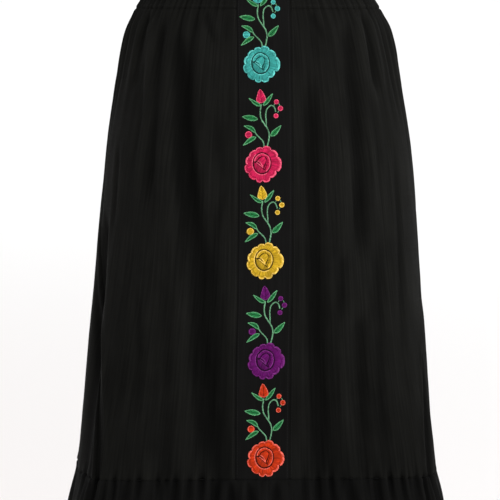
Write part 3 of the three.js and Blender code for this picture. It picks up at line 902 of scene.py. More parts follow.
def black_cotton(name, colour, slub, shine):
    """Matte black cotton in a plain weave: thick and thin warp threads and lint, with painted shading,
    lighter on the folds' crests and darker in their troughs and towards the foot.
    """
    material, tree, shader = new_material(name)
    if tree is None:
        return material
    uv = node(tree, "ShaderNodeUVMap", uv_map="UVMap").outputs["UV"]
    shader.inputs["Specular IOR Level"].default_value = shine
    shader.inputs["Sheen Weight"].default_value = 0.005
    shader.inputs["Sheen Roughness"].default_value = 0.45
    warp = stretched_noise(tree, uv, (420, 9, 1), 3, 0.6)
    weft = stretched_noise(tree, uv, (22, 1100, 1), 2, 0.5)
    wash = stretched_noise(tree, uv, (22, 14, 1), 3, 0.6)
    lint = stretched_noise(tree, uv, (2600, 2100, 1), 2, 0.6)
    painted_shading = node(tree, "ShaderNodeAttribute", attribute_name="painted_shading").outputs["Fac"]
    tone = maths(tree, "MULTIPLY", ranged(tree, warp, 1 - slub, 1 + slub), ranged(tree, weft, 0.92, 1.08))
    tone = maths(tree, "MULTIPLY", tone, ranged(tree, wash, 0.85, 1.2))
    # The painted shading of the folds and the foot darkens or lightens the cloth's colour.
    tone = maths(tree, "MULTIPLY", tone, ranged(tree, painted_shading, 0.4, 1.6, 0, 1))
    tone = maths(tree, "MULTIPLY", tone, ranged(tree, lint, 0.85, 1.25, 0.35, 0.75))
    tree.links.new(tinted(tree, colour, tone), shader.inputs["Base Color"])
    tree.links.new(ranged(tree, weft, 0.74, 0.9), shader.inputs["Roughness"])
    threads = []
    for direction in ("X", "Y"):
        thread = node(tree, "ShaderNodeTexWave", wave_type="BANDS", bands_direction=direction,
                      Scale=1.0, Distortion=0.6)
        tree.links.new(mapped(tree, uv, (350, 350, 1)), thread.inputs["Vector"])
        threads.append(thread.outputs["Fac"])
    weave = maths(tree, "ADD", *threads)
    relief = maths(tree, "ADD", maths(tree, "MULTIPLY", warp, 2.2), maths(tree, "MULTIPLY", weave, 0.35))
    raised(tree, shader, relief, 0.6, 0.0003)
    return material


def satin_thread(name, colour):
    """Glossy embroidery thread laid side by side. U runs across the stitches and V along them."""
    material, tree, shader = new_material(name)
    if tree is None:
        return material
    uv = node(tree, "ShaderNodeUVMap", uv_map="UVMap").outputs["UV"]
    thread = stretched_noise(tree, uv, (2300, 70, 1), 1, 0.5)
    strand = stretched_noise(tree, uv, (620, 60, 1), 3, 0.6)
    patch = stretched_noise(tree, uv, (130, 110, 1), 2, 0.5)
    tone = maths(tree, "MULTIPLY", ranged(tree, thread, 0.8, 1.15), ranged(tree, strand, 0.5, 1.5))
    tone = maths(tree, "MULTIPLY", tone, ranged(tree, patch, 0.82, 1.15))
    tree.links.new(tinted(tree, colour, tone), shader.inputs["Base Color"])
    tree.links.new(ranged(tree, strand, 0.36, 0.55), shader.inputs["Roughness"])
    shader.inputs["Specular IOR Level"].default_value = 0.05
    height = maths(tree, "ADD", thread, maths(tree, "MULTIPLY", strand, 1.2))
    raised(tree, shader, height, 0.7, 0.0004)
    return material


def sewing_thread(name, colour):
    """Twisted black thread with a slight gloss."""
    material, tree, shader = new_material(name)
    if tree is None:
        return material
    uv = node(tree, "ShaderNodeUVMap", uv_map="UVMap").outputs["UV"]
    twist = stretched_noise(tree, uv, (1500, 900, 1), 2, 0.5)
    tree.links.new(tinted(tree, colour, ranged(tree, twist, 0.7, 1.4)), shader.inputs["Base Color"])
    tree.links.new(ranged(tree, twist, 0.45, 0.62), shader.inputs["Roughness"])
    shader.inputs["Specular IOR Level"].default_value = 0.1
    return material


def studio_floor(name, colour):
    """A pale floor with painted shadow, a little greyer near the dress and to the camera's left, which fades
    to white far away.
    """
    material, tree, shader = new_material(name)
    if tree is None:
        return material
    place = node(tree, "ShaderNodeTexCoord").outputs["Object"]
    distance = node(tree, "ShaderNodeVectorMath", operation="LENGTH")
    # Painted shadow: the floor is greyer round a spot to the camera's left of the dress.
    tree.links.new(mapped(tree, place, (4, 1, 1), (2, 0, 0)), distance.inputs[0])
    fade = node(tree, "ShaderNodeMix", data_type="RGBA")
    fade.inputs["A"].default_value = (*colour, 1)
    fade.inputs["B"].default_value = (1, 1, 1, 1)
    near, far = FLOOR_FADE
    tree.links.new(ranged(tree, distance.outputs["Value"], 0, 1, near, far), fade.inputs["Factor"])
    tree.links.new(fade.outputs["Result"], shader.inputs["Base Color"])
    shader.inputs["Roughness"].default_value = 0.8
    shader.inputs["Specular IOR Level"].default_value = 0.2
    return material


# The pieces of cloth. Each cloth is the name of its slot and its material.


def dress_cloth():
    return "dress_cloth", black_cotton("black_cotton", colours().cloth, 0.30, 0.03)


def panel_cloth():
    return "panel_cloth", black_cotton("panel_cotton", colours().panel, 0.16, 0.035)


def ruffle_cloth():
    return "ruffle_cloth", black_cotton("ruffle_cotton", colours().ruffle, 0.22, 0.025)


def make_centre_panel():
    """The flat strip down the centre front, whose top is scooped by the neckline."""
    columns, rows, length = PANEL_GRID
    reach = PANEL_HALF + SEAM_LAP / 2
    x = mix(-reach, reach, stations(2 * reach, columns))
    arc = np.arcsin(x * math.sin(NECK_ARC) / NECK_POINT[0])
    top = neckline(arc, FRONT_NECK_DROP)[1]
    z = mix(SKIRT_FOOT - SEAM_LAP / 2, top, stations(length, rows, "seam", "hem")[:, None])
    edges = dict(SEAMED, top=[("hem", ALL)])
    cloth_piece("centre_panel", (angle_at(x, z), z), "skirt", edges, panel_cloth())


def make_bodice():
    """The two fronts and the back, with hems at the neck and armholes."""
    columns, rows = BODICE_GRID
    for side, hand in SIDES:
        start_x = PANEL_HALF - SEAM_LAP / 2
        angle, z, neck, arm = bodice_spots(columns, rows, start_x, FRONT_NECK_DROP, "front")
        edges = {
            "foot": [("seam", ALL)],
            "top": [("hem", slice(0, neck)), ("seam", slice(neck - 1, None))],
            "first": [("seam", ALL)],
            "last": [("seam", slice(0, arm + 1)), ("hem", slice(arm, None))],
        }
        if hand < 0:
            angle, z = -angle[:, ::-1], z[:, ::-1]
            start = angle.shape[1] - neck
            edges["top"] = [("hem", slice(start, None)), ("seam", slice(0, start + 1))]
            edges["first"], edges["last"] = edges["last"], edges["first"]
        cloth_piece(f"bodice_front_{side}", (angle, z), "bodice", edges, dress_cloth())
    angle, z, neck, arm = bodice_spots(columns, rows, 0.0, BACK_NECK_DROP, "back")
    angle = np.concatenate([math.pi - angle[:, ::-1], math.pi + angle[:, 1:]], axis=1)
    z = np.concatenate([z[:, ::-1], z[:, 1:]], axis=1)
    middle = angle.shape[1] // 2
    edges = {
        "foot": [("seam", ALL)],
        "top": [("seam", slice(0, middle - neck + 2)), ("hem", slice(middle - neck + 1, middle + neck)),
                ("seam", slice(middle + neck - 1, None))],
        "first": [("seam", slice(0, arm + 1)), ("hem", slice(arm, None))],
        "last": [("seam", slice(0, arm + 1)), ("hem", slice(arm, None))],
    }
    cloth_piece("bodice_back", (angle, z), "bodice", edges, dress_cloth())


def make_gathered_tier(tier, top, foot):
    """The two fronts and the back of the waistband or of the skirt."""
    rows, front_grid, back_grid = TIER_GRIDS[tier]
    heights = tier_heights(top, foot, rows)
    for side, hand in SIDES:
        cloth_piece(f"{tier}_front_{side}", front_tier(heights, *front_grid, hand), "skirt", SEAMED,
                    dress_cloth())
    cloth_piece(f"{tier}_back", across_tier(heights, *back_grid, "back"), "skirt", SEAMED,
                dress_cloth())


def make_ruffle():
    """The gathered strips at the foot of the skirt, with a hem."""
    rows, *grids = TIER_GRIDS["ruffle"]
    heights = tier_heights(SKIRT_FOOT, HEM, rows, "hem")
    edges = dict(SEAMED, foot=[("hem", ALL)])
    for facing, grid, flat in zip(("front", "back"), grids, ((0.55, 0.155), (1.3, 0.155))):
        cloth_piece(f"ruffle_{facing}", across_tier(heights, *grid, facing), "ruffle", edges,
                    ruffle_cloth())


# The sewing.


def stitch_line(name, angle, z, tier):
    """A row of stitches through these spots of the cloth."""
    proud = np.full(len(z), THREAD_PROUD[tier])
    stitch_row(f"topstitching_{name}", cloth_spot(angle, z, tier, proud), form_normal(angle, z))


def inset_line(name, angle, z, distance, tier):
    """A row of stitches at this distance from an edge, on the right hand of its direction."""
    points = form_point(angle, z)
    tangent = unit(np.gradient(points, axis=0))
    moved = points + distance * unit(np.cross(tangent, form_normal(angle, z)))
    z = moved[:, 2]
    reach = np.where(moved[:, 1] < 0, read(FORM, FRONT, z), read(FORM, BACK, z))
    x = (moved[:, 0] - read(FORM, LEAN, z)) / read(FORM, HALF, z)
    stitch_line(name, np.arctan2(x, -moved[:, 1] / reach), z, tier)


def stitch_row(name, points, normals):
    """A row of topstitching along a line on the cloth: one grid, cut into stitches."""
    length = np.concatenate([[0], np.cumsum(np.linalg.norm(np.diff(points, axis=0), axis=1))])
    pitch = sizes().stitch_pitch / MM
    count = max(1, round(length[-1] / pitch))
    steps = len(STITCH_ARCH)
    mesh, (spot,) = grid_mesh(name, [(steps * count - 1, 2)])
    stitch, step = np.divmod(spot[:, 0], steps)
    side = spot[:, 1] - 1
    along = (stitch + STITCH_START + STITCH_COVER * step / (steps - 1)) * length[-1] / count

    def at(values):
        return np.stack([np.interp(along, length, values[:, i]) for i in range(3)], axis=-1)

    place, normal = at(points), unit(at(normals))
    tangent = unit(at(np.gradient(points, axis=0)))
    across = np.cross(normal, tangent)
    half = sizes().stitch_width / MM / 2 * np.where((step == 0) | (step == steps - 1), 0.5, 1)
    lift = np.array(STITCH_ARCH)[step] + np.where(side == 0, 0.18, -0.12)
    moved = place + normal * lift[:, None] + across * (side * half)[:, None]
    set_points(mesh, [moved])
    set_uv(mesh, [np.stack([along, side * half], axis=-1)])
    bm = bmesh.new()
    bm.from_mesh(mesh)
    gaps = [f for f in bm.faces if min(spot[v.index, 0] for v in f.verts) % steps == steps - 1]
    bmesh.ops.delete(bm, geom=gaps, context="FACES")
    bm.to_mesh(mesh)
    bm.free()
    placed(name, mesh, "black_thread", sewing_thread("black_thread", colours().stitching))


def make_topstitching():
    """Rows of stitches beside the panel's seams, inside the hems and round the waist casing."""
    down = np.linspace(SKIRT_FOOT + 2, PANEL_STITCH_TOP, PANEL_LINE)
    for side, hand in SIDES:
        for row, inset in (("inner", -PANEL_STITCH_INSET), ("outer", PANEL_STITCH_INSET)):
            stitch_line(f"panel_{side}_{row}", angle_at(hand * (PANEL_HALF + inset), down), down, "skirt")
    arc = np.linspace(-NECK_ARC, NECK_ARC, NECK_LINE)
    for facing, drop, turned in (("front", FRONT_NECK_DROP, 0), ("back", BACK_NECK_DROP, math.pi)):
        x, z = neckline(arc, drop)
        inset_line(f"neck_{facing}", turned + angle_at(x, z), z, HEM_STITCH_INSET, "bodice")
    turn = np.linspace(0.04, math.pi, ARMHOLE_LINE)
    for side, hand in SIDES:
        for facing in ("front", "back"):
            x, z = armhole_edge(turn, facing)
            angle = np.arcsin(np.clip(x / read(FORM, HALF, z), -1, 1))
            angle = hand * (angle if facing == "front" else math.pi - angle)
            if (facing == "front") == (hand > 0):
                angle, z = angle[::-1], z[::-1]
            inset_line(f"armhole_{side}_{facing}", angle, z, -HEM_STITCH_INSET, "bodice")
    around = np.linspace(-math.pi, math.pi, WAIST_LINE)
    clear = np.abs(read(FORM, HALF, BAND_TOP + 0 * around) * np.sin(around)) > PANEL_HALF + 1
    around = around[clear | (np.cos(around) < 0)]
    for edge, height in (("top", BAND_TOP - CASING_STITCH_INSET), ("foot", BAND_FOOT + CASING_STITCH_INSET)):
        for side, part in (("right", around[around < 0]), ("left", around[around > 0])):
            stitch_line(f"casing_{edge}_{side}", part, np.full(len(part), height), "skirt")
    around = np.linspace(-math.pi, math.pi, HEM_LINE)
    stitch_line("hem", around, np.full(len(around), HEM + HEM_STITCH_INSET), "ruffle")


# The embroidery. Each spray is a rose with a bud, berries and leaves above it, in millimetres from the
# middle of the rose, to the right and up.

# The sprays from the ruffle up: the rose's colour, the place of its middle on the panel,
# and how far the tip of the spray leans to the right.
SPRAYS = (
    ("orange", 3.4, -914.6, 0.0),
    ("purple", 3.3, -807.5, 0.0),
    ("yellow", -0.1, -697.6, -1.1),
    ("pink", -3.0, -591.6, 1.2),
    ("turquoise", -3.6, -481.8, 0.0),
    ("orange", -0.8, -374.0, 0.5),
    ("purple", 0.9, -266.4, -0.6),
    ("yellow", -0.4, -158.6, 0.3),
)

# The lobes round the rose: where each starts and ends, in degrees from the right, how far out it reaches,
# how deep the notches beside it are, and how wide its pale rim of painted highlight is.
ROSE_LOBES = (
    (-27, 25, 20.7, 1.9, 2.2), (25, 59, 19.8, 2.2, 1.9), (59, 90, 20.5, 2.4, 1.3), (90, 117, 18.8, 1.8, 1.4),
    (117, 151, 18.5, 2.0, 1.7), (151, 181, 19.0, 1.6, 2.0), (181, 213, 20.7, 2.1, 1.0),
    (213, 246, 20.3, 2.2, 0.6), (246, 270, 20.6, 3.0, 1.1), (270, 299, 20.4, 3.1, 1.4),
    (299, 333, 18.3, 2.1, 2.0),
)
# The eye: the place of its middle, half of its width and half of its height.
ROSE_EYE = (-0.8, 1.0, 10.2, 11.9)
# The rings of stitches round the eye: the arc, how far outside the eye, the width, the thread and its height.
# The shadow rings are painted shadow round the eye, widest on the right; the edge ring is painted highlight
# on its left and lower side.
EYE_RINGS = (
    (0, 360, -0.55, 1.7, "shadow", 0.3), (-80, 85, -0.9, 1.9, "shadow", 0.35),
    (128, 300, 0.8, 1.2, "edge", 0.5),
)
# The heart's petals from the middle of the eye: the thread, and the two rails that each is sewn between.
# The deep petals are painted shade in the folds of the heart.
HEART = (
    ("rose", ((4.4, 9.4), (7.5, 6.6), (9.0, 1.6), (8.3, -4.6), (4.5, -9.4)),
     ((3.4, 7.4), (5.4, 5.0), (6.0, 1.4), (4.9, -3.2), (3.1, -8.4))),
    ("rose", ((-8.7, 2.0), (-7.5, 6.2), (-3.7, 9.9), (0.8, 10.8), (4.2, 8.9)),
     ((-6.0, 2.5), (-4.5, 5.3), (-1.7, 7.4), (1.6, 7.9), (3.5, 6.6))),
    ("deep", ((-8.8, 1.2), (-5.6, -0.7), (-2.4, -3.5), (1.0, -6.4), (4.4, -8.8)),
     ((-8.8, -1.2), (-7.9, -5.4), (-4.8, -9.0), (-0.8, -10.9), (4.2, -10.2))),
    ("rose", ((-6.2, 0.7), (-3.9, -0.6), (-1.4, -2.7), (1.2, -4.8)),
     ((-5.7, 0.0), (-3.3, -1.9), (-0.8, -4.3), (1.6, -6.2))),
    ("deep", ((5.5, 4.9), (5.8, 1.4), (4.7, -2.5), (2.7, -7.0)),
     ((4.6, 4.2), (4.4, 0.8), (3.3, -2.4), (1.9, -5.7))),
    ("rose", ((-5.2, 1.9), (-3.2, 0.4), (-1.3, -1.6), (0.9, -3.9)),
     ((-3.7, 4.7), (1.0, 7.3), (4.1, 4.6), (3.4, 0.2), (1.3, -3.7))),
)

# The stems, each with the number of points that it is sewn through, its width and its height.
STEMS = (
    (((4.6, 19.0), (6.2, 25.5), (6.9, 31.5), (5.4, 38.0), (1.4, 44.0), (-2.2, 50.0), (-3.3, 57.5),
      (-2.0, 66.0)), 60, 1.5, 0.75),
    (((1.4, 19.4), (0.2, 24.6), (-3.2, 28.6), (-7.2, 32.6), (-9.4, 36.4)), 30, 1.4, 0.75),
    (((3.4, 41.4), (3.4, 46.5), (2.9, 54.0), (4.2, 60.6), (8.6, 64.4), (12.2, 62.6), (14.0, 57.4)),
     48, 1.4, 0.75),
    (((12.0, 64.6), (13.2, 66.8)), 8, 0.9, 0.55),
    (((17.2, 66.6), (18.8, 63.6)), 8, 0.9, 0.55),
    (((17.4, 58.6), (15.8, 56.4)), 8, 0.9, 0.55),
)
# Each leaf from its root to its tip, with its width.
LEAVES = (
    (((-2.4, 64.2), (-8.0, 66.6), (-15.8, 72.4)), 3.9),
    (((0.0, 64.2), (5.0, 70.0), (10.4, 77.4)), 4.3),
    (((-6.2, 49.4), (-14.2, 50.8), (-23.0, 52.2)), 6.0),
    (((-8.6, 35.0), (-13.6, 39.6), (-21.0, 42.0)), 4.4),
    (((-7.8, 29.8), (-13.8, 26.8), (-21.8, 20.6)), 4.6),
    (((8.4, 31.0), (13.2, 35.0), (19.8, 42.4)), 5.6),
)
# The bud from its root to its tip, with its width, and the side bud and berries: middles and radii.
BUD = (((-2.2, 67.4), (-2.6, 74.0), (-3.6, 82.0)), 10.6)
BERRIES = ((-15.9, 32.3, 3.8), (14.6, 68.4, 2.6), (19.0, 61.2, 2.8), (14.2, 53.0, 2.6))
# The height above the rose at which a spray's lean is counted.
LEAN_HEIGHT = 80


def curve_through(points, count):
    """A smooth line through a few points."""
    points = np.array(points, float)
    if len(points) == 2:
        return mix(points[0], points[1], np.linspace(0, 1, count)[:, None])
    before = 2 * points[0] - points[1]
    after = 2 * points[-1] - points[-2]
    points = np.vstack([before, points, after])
    at = np.linspace(1, len(points) - 2, count)
    i = np.minimum(np.floor(at).astype(int), len(points) - 3)
    t = (at - i)[:, None]
    a, b, c, d = points[i - 1], points[i], points[i + 1], points[i + 2]
    return 0.5 * (2 * b + (c - a) * t + (2 * a - 5 * b + 4 * c - d) * t**2 + (3 * b - a - 3 * c + d) * t**3)


def sideways(line):
    """The direction to the left of a flat line at each of its points."""
    tangent = np.gradient(line, axis=0)
    return unit(np.stack([-tangent[:, 1], tangent[:, 0]], axis=1))


def oval(x, z, wide, tall, arc):
    """Points of an oval round a middle, from half of its width and height, at these angles."""
    return np.stack([x + wide * np.cos(arc), z + tall * np.sin(arc)], axis=1)


class Spray:
    """The satin patches of one spray. Each is sewn between two rails, from one to the other."""

    ACROSS = 6
    RAGGED = 0.10
    UNEVEN = 0.06
    # How deep the edges of a patch lie in the cloth.
    SUNK = 0.22

    def __init__(self, seed):
        self.chance = np.random.default_rng(seed)
        self.patches = []

    def satin(self, first, second, thread, height=1.0, lift=0.0, slant=0.0, closed=False):
        """A patch of stitches between two rails, or a closed ring.

        slant leans the stitches along the rails.
        """
        count = len(first)
        ragged = self.chance.normal(0, self.RAGGED, (2, count, 1))
        across = second - first
        width = np.maximum(np.linalg.norm(across, axis=1, keepdims=True), 0.3)
        first = first - across / width * ragged[0]
        second = second + across / width * ragged[1]
        share = np.linspace(0, 1, self.ACROSS + 1)[:, None, None]
        flat = mix(first, second, share)
        middle = (first + second) / 2
        length = np.concatenate([[0], np.cumsum(np.linalg.norm(np.diff(middle, axis=0), axis=1))])
        share = share[..., 0]
        dome = np.sin(math.pi * mix(0.02, 0.98, share)) ** 0.55
        ends = 1 if closed else np.minimum(1, 0.35 + np.minimum(length, length[-1] - length) / 0.8)
        uneven = 1 - self.UNEVEN + self.UNEVEN * self.chance.normal(0, 1, count)
        rise = height * dome * ends * uneven + lift - self.SUNK
        slip = self.chance.uniform(0, 900, 2)
        v = share * width[:, 0]
        u = length + slant * v + slip[0]
        self.patches.append((flat, rise, np.stack([u, v + slip[1]], axis=-1), thread))

    def band(self, line, width, thread, height=1.0, lift=0.0, slant=0.0):
        """Satin stitch of one width along a line."""
        side = sideways(line) * width / 2
        self.satin(line + side, line - side, thread, height, lift, slant)

    def halves(self, spine, outline, body, rim):
        """Two halves of satin stitch on both sides of a spine, with a pale band of painted highlight along
        each edge.

        outline gives the reach from the spine at each share of its length. body is the gap at the
        spine, the thread, the height and the slant. rim is the inset from the edge, the width, the
        thread, the height and the slant.
        """
        share = np.linspace(0, 1, 26)
        line = curve_through(spine, len(share))
        side = sideways(line)
        reach = outline(share)[:, None]
        gap, thread, height, slant = body
        inset, rim_width, rim_thread, rim_height, rim_slant = rim
        for hand in (1, -1):
            edge = line + hand * side * reach
            self.satin(line + hand * side * gap, edge, thread, height, 0, slant)
            pale = mix(line, edge, np.clip(1 - inset / reach, 0, 1))
            self.band(pale, rim_width, rim_thread, rim_height, 0.3, rim_slant)

    def leaf(self, spine, width):
        """A leaf, pointed at both ends."""

        def outline(share):
            return width / 2 * np.sin(math.pi * share**0.85) ** 0.8 + 0.25

        self.halves(spine, outline, (0.12, "leaf", 0.75, -0.9), (0.55, 1.0, "leaf_edge", 0.62, 1.2))

    def bud(self, spine, width):
        """A closed bud, pointed at the tip and widest near the root."""

        def outline(share):
            return 0.66 * width * (1 - share) ** 0.6 * (1 - np.exp(-9 * share)) + 0.2

        self.halves(spine, outline, (0.1, "rose", 1.0, -0.7), (0.5, 0.9, "edge", 0.7, 1.0))

    def berry(self, x, z, radius):
        """A round knot of satin stitch with a pale ring of painted highlight."""
        share = np.linspace(-1, 1, 15)
        half = 1.08 * radius * np.sqrt(1 - (0.97 * share) ** 2)
        left, right = (np.stack([x + side * half, z + radius * share], axis=1) for side in (-1, 1))
        self.satin(left, right, "rose", 1.0)
        arc = np.radians(np.linspace(0, 360, 28))
        self.band(oval(x, z, 0.84 * radius, 0.84 * radius, arc), 1.0, "edge", 0.55, 0.35, 1.0)

    def rose(self):
        """A ring of scalloped lobes round an egg-shaped eye, which holds a folded bud on a dark ground of
        painted shadow. The lobes carry painted shade, painted highlight on their rims and painted shadow in
        their notches.
        """
        x, z, wide, tall = ROSE_EYE
        share = np.linspace(0, 1, 25)
        bow = 1 - np.abs(2 * share - 1)[:, None] ** 3
        groove = np.linspace(0.84, 0.99, 8)[:, None]
        inner, outer = [], []
        for start, end, reach, notch, pale in ROSE_LOBES:
            arc = np.radians(mix(start, end, share))
            eye = oval(x, z, wide, tall, arc)
            scallop = reach - notch * np.abs(2 * share - 1) ** 3.4
            rim = oval(0, 0, scallop, scallop, arc)
            inner.append(eye[1:])
            outer.append(rim[1:])
            # Painted shade: a band of the darker deep thread arching across each lobe.
            self.band(mix(eye, rim, 0.52 + 0.14 * bow)[2:-2], 1.3, "deep", 0.4, 0.75, 0.9)
            # Painted highlight: a pale rim of edge thread near each lobe's outer end.
            self.band(mix(eye, rim, 0.8 + 0.12 * bow)[1:-1], pale, "edge", 0.7, 0.5, 0.9)
            # Painted shadow: a short dark line in the notch beside each lobe.
            self.band(mix(eye[:1], rim[:1], groove), 0.9, "shadow", 0.45, 0.45, 0.9)
        rails = (np.concatenate([rail[-1][-1:], *rail]) for rail in (inner, outer))
        self.satin(*rails, "rose", 1.1, closed=True)
        for start, end, reach, width, thread, lift in EYE_RINGS:
            arc = np.radians(np.linspace(start, end, 90))
            self.band(oval(x, z, wide + reach, tall + reach, arc), width, thread, 0.7, lift, 1.0)
        rise = np.linspace(-0.99, 0.99, 25)
        half = (wide - 1.2) * np.sqrt(1 - rise**2)
        ground = [np.stack([x + side * half, z + (tall - 1.2) * rise], axis=1) for side in (-1, 1)]
        self.satin(*ground, "shadow", 0.45)
        middle = np.array([x, z])
        for thread, *rails in HEART:
            first, second = (curve_through(rail, 24) + middle for rail in rails)
            self.satin(first, second, thread, 0.8, 0.35)
            if thread == "rose":
                # Painted highlight: a pale band near one rail of each light petal of the heart.
                self.band(mix(first, second, 0.14), 1.2, "edge", 0.6, 0.75, 1.0)

    def build(self, name, x, z, lean, threads):
        """The spray's mesh, laid on the panel with its rose at this place."""
        grids = [(rise.shape[1] - 1, self.ACROSS) for _, rise, _, _ in self.patches]
        mesh, spots = grid_mesh(name, grids)
        names = list(threads)
        scale = sizes().satin_height / MM
        flats, rises, uvs, slots = [], [], [], []
        for (flat, rise, uv, thread), spot, (columns, rows) in zip(self.patches, spots, grids):
            column, row = spot[:, 0], spot[:, 1]
            flats.append(flat[row, column])
            rises.append(rise[row, column])
            uvs.append(uv[row, column])
            slots += [names.index(thread)] * (columns * rows)
        flat = np.concatenate(flats)
        height = z + flat[:, 1]
        angle = angle_at(x + flat[:, 0] + lean * flat[:, 1] / LEAN_HEIGHT, height)
        set_points(mesh, [cloth_spot(angle, height, "skirt", scale * np.concatenate(rises))])
        set_uv(mesh, uvs)
        placed(name, mesh, "embroidery_thread", *threads.values())
        mesh.polygons.foreach_set("material_index", slots)


def make_embroidery():
    """The rose sprays up the centre panel, in the order of their colours."""
    palette = colours()
    greens = {
        "leaf": satin_thread("leaf_thread", palette.leaf),
        "leaf_edge": satin_thread("leaf_edge_thread", palette.leaf_edge),
        "stem": satin_thread("stem_thread", palette.stem),
    }
    for number, (colour, x, z, lean) in enumerate(SPRAYS[:sizes().spray_count]):
        base = np.array(getattr(palette, colour))
        spray = Spray(40 + number)
        spray.rose()
        for points, count, width, height in STEMS:
            spray.band(curve_through(points, count), width, "stem", height, 0, 1.1)
        for spine, width in LEAVES:
            spray.leaf(spine, width)
        spray.bud(*BUD)
        for berry in BERRIES:
            spray.berry(*berry)
        # From the rose's own colour: the deep thread is painted shade, the shadow thread painted shadow and
        # the edge thread painted highlight.
        threads = {
            "rose": satin_thread(f"{colour}_thread", base),
            "deep": satin_thread(f"deep_{colour}_thread", base * 0.75),
            "shadow": satin_thread(f"dark_{colour}_thread", base * 0.12),
            "edge": satin_thread(f"pale_{colour}_thread", 1.5 * base + 0.17 * base.max()),
            **greens,
        }
        spray.build(f"embroidered_spray_{number + 1}", x, z, lean, threads)


def aim(piece, place, target):
    """Puts a light or the camera in its place, turned towards its target."""
    piece.location = place
    piece.rotation_euler = (Vector(target) - piece.location).to_track_quat("-Z", "Y").to_euler()
    bpy.context.collection.objects.link(piece)


def make_stage():
    """A pale floor with painted shadow near the dress, light from all round, a soft key light, and the
    camera.
    """
    stage = bpy.context.scene.dress_stage
    bm = bmesh.new()
    bmesh.ops.create_grid(bm, x_segments=1, y_segments=1, size=FLOOR_HALF)
    bmesh.ops.translate(bm, verts=bm.verts, vec=(0, 0, stage.floor_height))
    mesh = bpy.data.meshes.new("studio_floor")
    bm.to_mesh(mesh)
    bm.free()
    mesh.materials.append(studio_floor("studio_floor", stage.floor_colour))
    floor = bpy.data.objects.new("studio_floor", mesh)
    bpy.context.collection.objects.link(floor)
    world = bpy.data.worlds.new("studio_surroundings")
    world.use_nodes = True
    background = world.node_tree.nodes["Background"]
    background.inputs["Color"].default_value = (*stage.surroundings, 1)
    background.inputs["Strength"].default_value = SURROUNDINGS_STRENGTH
    bpy.context.scene.world = world
    light = bpy.data.lights.new("key_light", "AREA")
    light.size = KEY_SIZE
    light.energy = stage.key_power
    key = bpy.data.objects.new("key_light", light)
    aim(key, KEY_PLACE, KEY_TARGET)
    lens = bpy.data.cameras.new("camera")
    lens.sensor_width = 36
    lens.lens = stage.lens
    lens.clip_end = 200
    camera = bpy.data.objects.new("camera", lens)
    aim(camera, stage.camera_place, stage.camera_target)
    bpy.context.scene.camera = camera
    bpy.context.scene.view_settings.view_transform = "Standard"


class DressOperator:
    """What the operators share."""

    bl_options = {"REGISTER", "UNDO"}


class DRESS_OT_centre_panel(DressOperator, bpy.types.Operator):
    """Makes the flat centre panel that carries the embroidery"""

    bl_idname = "dress.centre_panel"
    bl_label = "Centre Panel"

    def execute(self, context):
        make_centre_panel()
        return {"FINISHED"}


class DRESS_OT_bodice(DressOperator, bpy.types.Operator):
    """Makes the two bodice fronts and the bodice back"""

    bl_idname = "dress.bodice"
    bl_label = "Bodice"

    def execute(self, context):
        make_bodice()
        return {"FINISHED"}


class DRESS_OT_waistband(DressOperator, bpy.types.Operator):
    """Makes the casing of the elastic waist"""

    bl_idname = "dress.waistband"
    bl_label = "Waistband"

    def execute(self, context):
        make_gathered_tier("waistband", BAND_TOP, BAND_FOOT)
        return {"FINISHED"}


class DRESS_OT_skirt(DressOperator, bpy.types.Operator):
    """Makes the two skirt fronts and the skirt back"""

    bl_idname = "dress.skirt"
    bl_label = "Skirt"

    def execute(self, context):
        make_gathered_tier("skirt", BAND_FOOT, SKIRT_FOOT)
        return {"FINISHED"}


class DRESS_OT_ruffle(DressOperator, bpy.types.Operator):
    """Makes the front and back of the gathered ruffle"""

    bl_idname = "dress.ruffle"
    bl_label = "Ruffle"

    def execute(self, context):
        make_ruffle()
        return {"FINISHED"}


class DRESS_OT_topstitching(DressOperator, bpy.types.Operator):
    """Sews the rows of topstitching"""

    bl_idname = "dress.topstitching"
    bl_label = "Topstitching"

    def execute(self, context):
        make_topstitching()
        return {"FINISHED"}


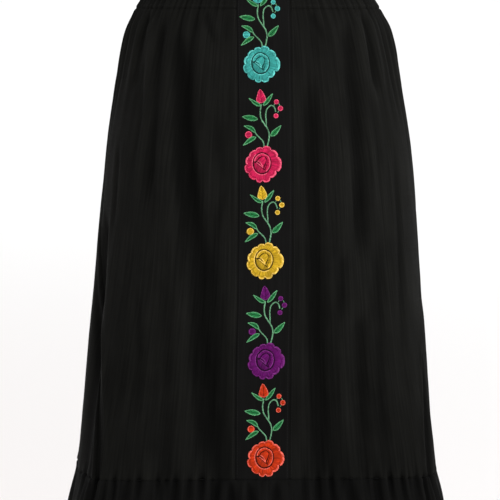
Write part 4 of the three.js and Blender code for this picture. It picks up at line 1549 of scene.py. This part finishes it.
class DRESS_OT_embroidery(DressOperator, bpy.types.Operator):
    """Sews the rose sprays up the centre panel in satin stitch"""

    bl_idname = "dress.embroidery"
    bl_label = "Rose Embroidery"

    def execute(self, context):
        make_embroidery()
        return {"FINISHED"}


class DRESS_OT_stage(DressOperator, bpy.types.Operator):
    """Sets up the floor, the lights and the camera"""

    bl_idname = "dress.stage"
    bl_label = "Stage"

    def execute(self, context):
        make_stage()
        return {"FINISHED"}


OPERATORS = (
    DRESS_OT_centre_panel,
    DRESS_OT_bodice,
    DRESS_OT_waistband,
    DRESS_OT_skirt,
    DRESS_OT_ruffle,
    DRESS_OT_topstitching,
    DRESS_OT_embroidery,
    DRESS_OT_stage,
)


class DRESS_PT_panel(bpy.types.Panel):
    """Lists the steps of dressing the frame, and their sizes and colours"""

    bl_idname = "DRESS_PT_panel"
    bl_label = "Fiesta Dress"
    bl_space_type = "VIEW_3D"
    bl_region_type = "UI"
    bl_category = "Fiesta Dress"

    def draw(self, context):
        for operator in OPERATORS:
            self.layout.operator(operator.bl_idname)
        for group in (context.scene.dress_sizes, context.scene.dress_colours, context.scene.dress_stage):
            box = self.layout.box()
            for name in group.__annotations__:
                box.prop(group, name)


CLASSES = (DressColours, DressSizes, DressStage, *OPERATORS, DRESS_PT_panel)


def register():
    for made in CLASSES:
        bpy.utils.register_class(made)
    bpy.types.Scene.dress_colours = PointerProperty(type=DressColours)
    bpy.types.Scene.dress_sizes = PointerProperty(type=DressSizes)
    bpy.types.Scene.dress_stage = PointerProperty(type=DressStage)


def unregister():
    del bpy.types.Scene.dress_stage
    del bpy.types.Scene.dress_sizes
    del bpy.types.Scene.dress_colours
    for made in reversed(CLASSES):
        bpy.utils.unregister_class(made)


def main():
    register()
    bpy.ops.dress.centre_panel()
    bpy.ops.dress.bodice()
    bpy.ops.dress.waistband()
    bpy.ops.dress.skirt()
    bpy.ops.dress.ruffle()
    bpy.ops.dress.topstitching()
    bpy.ops.dress.embroidery()
    bpy.ops.dress.stage()


if __name__ == "__main__":
    main()
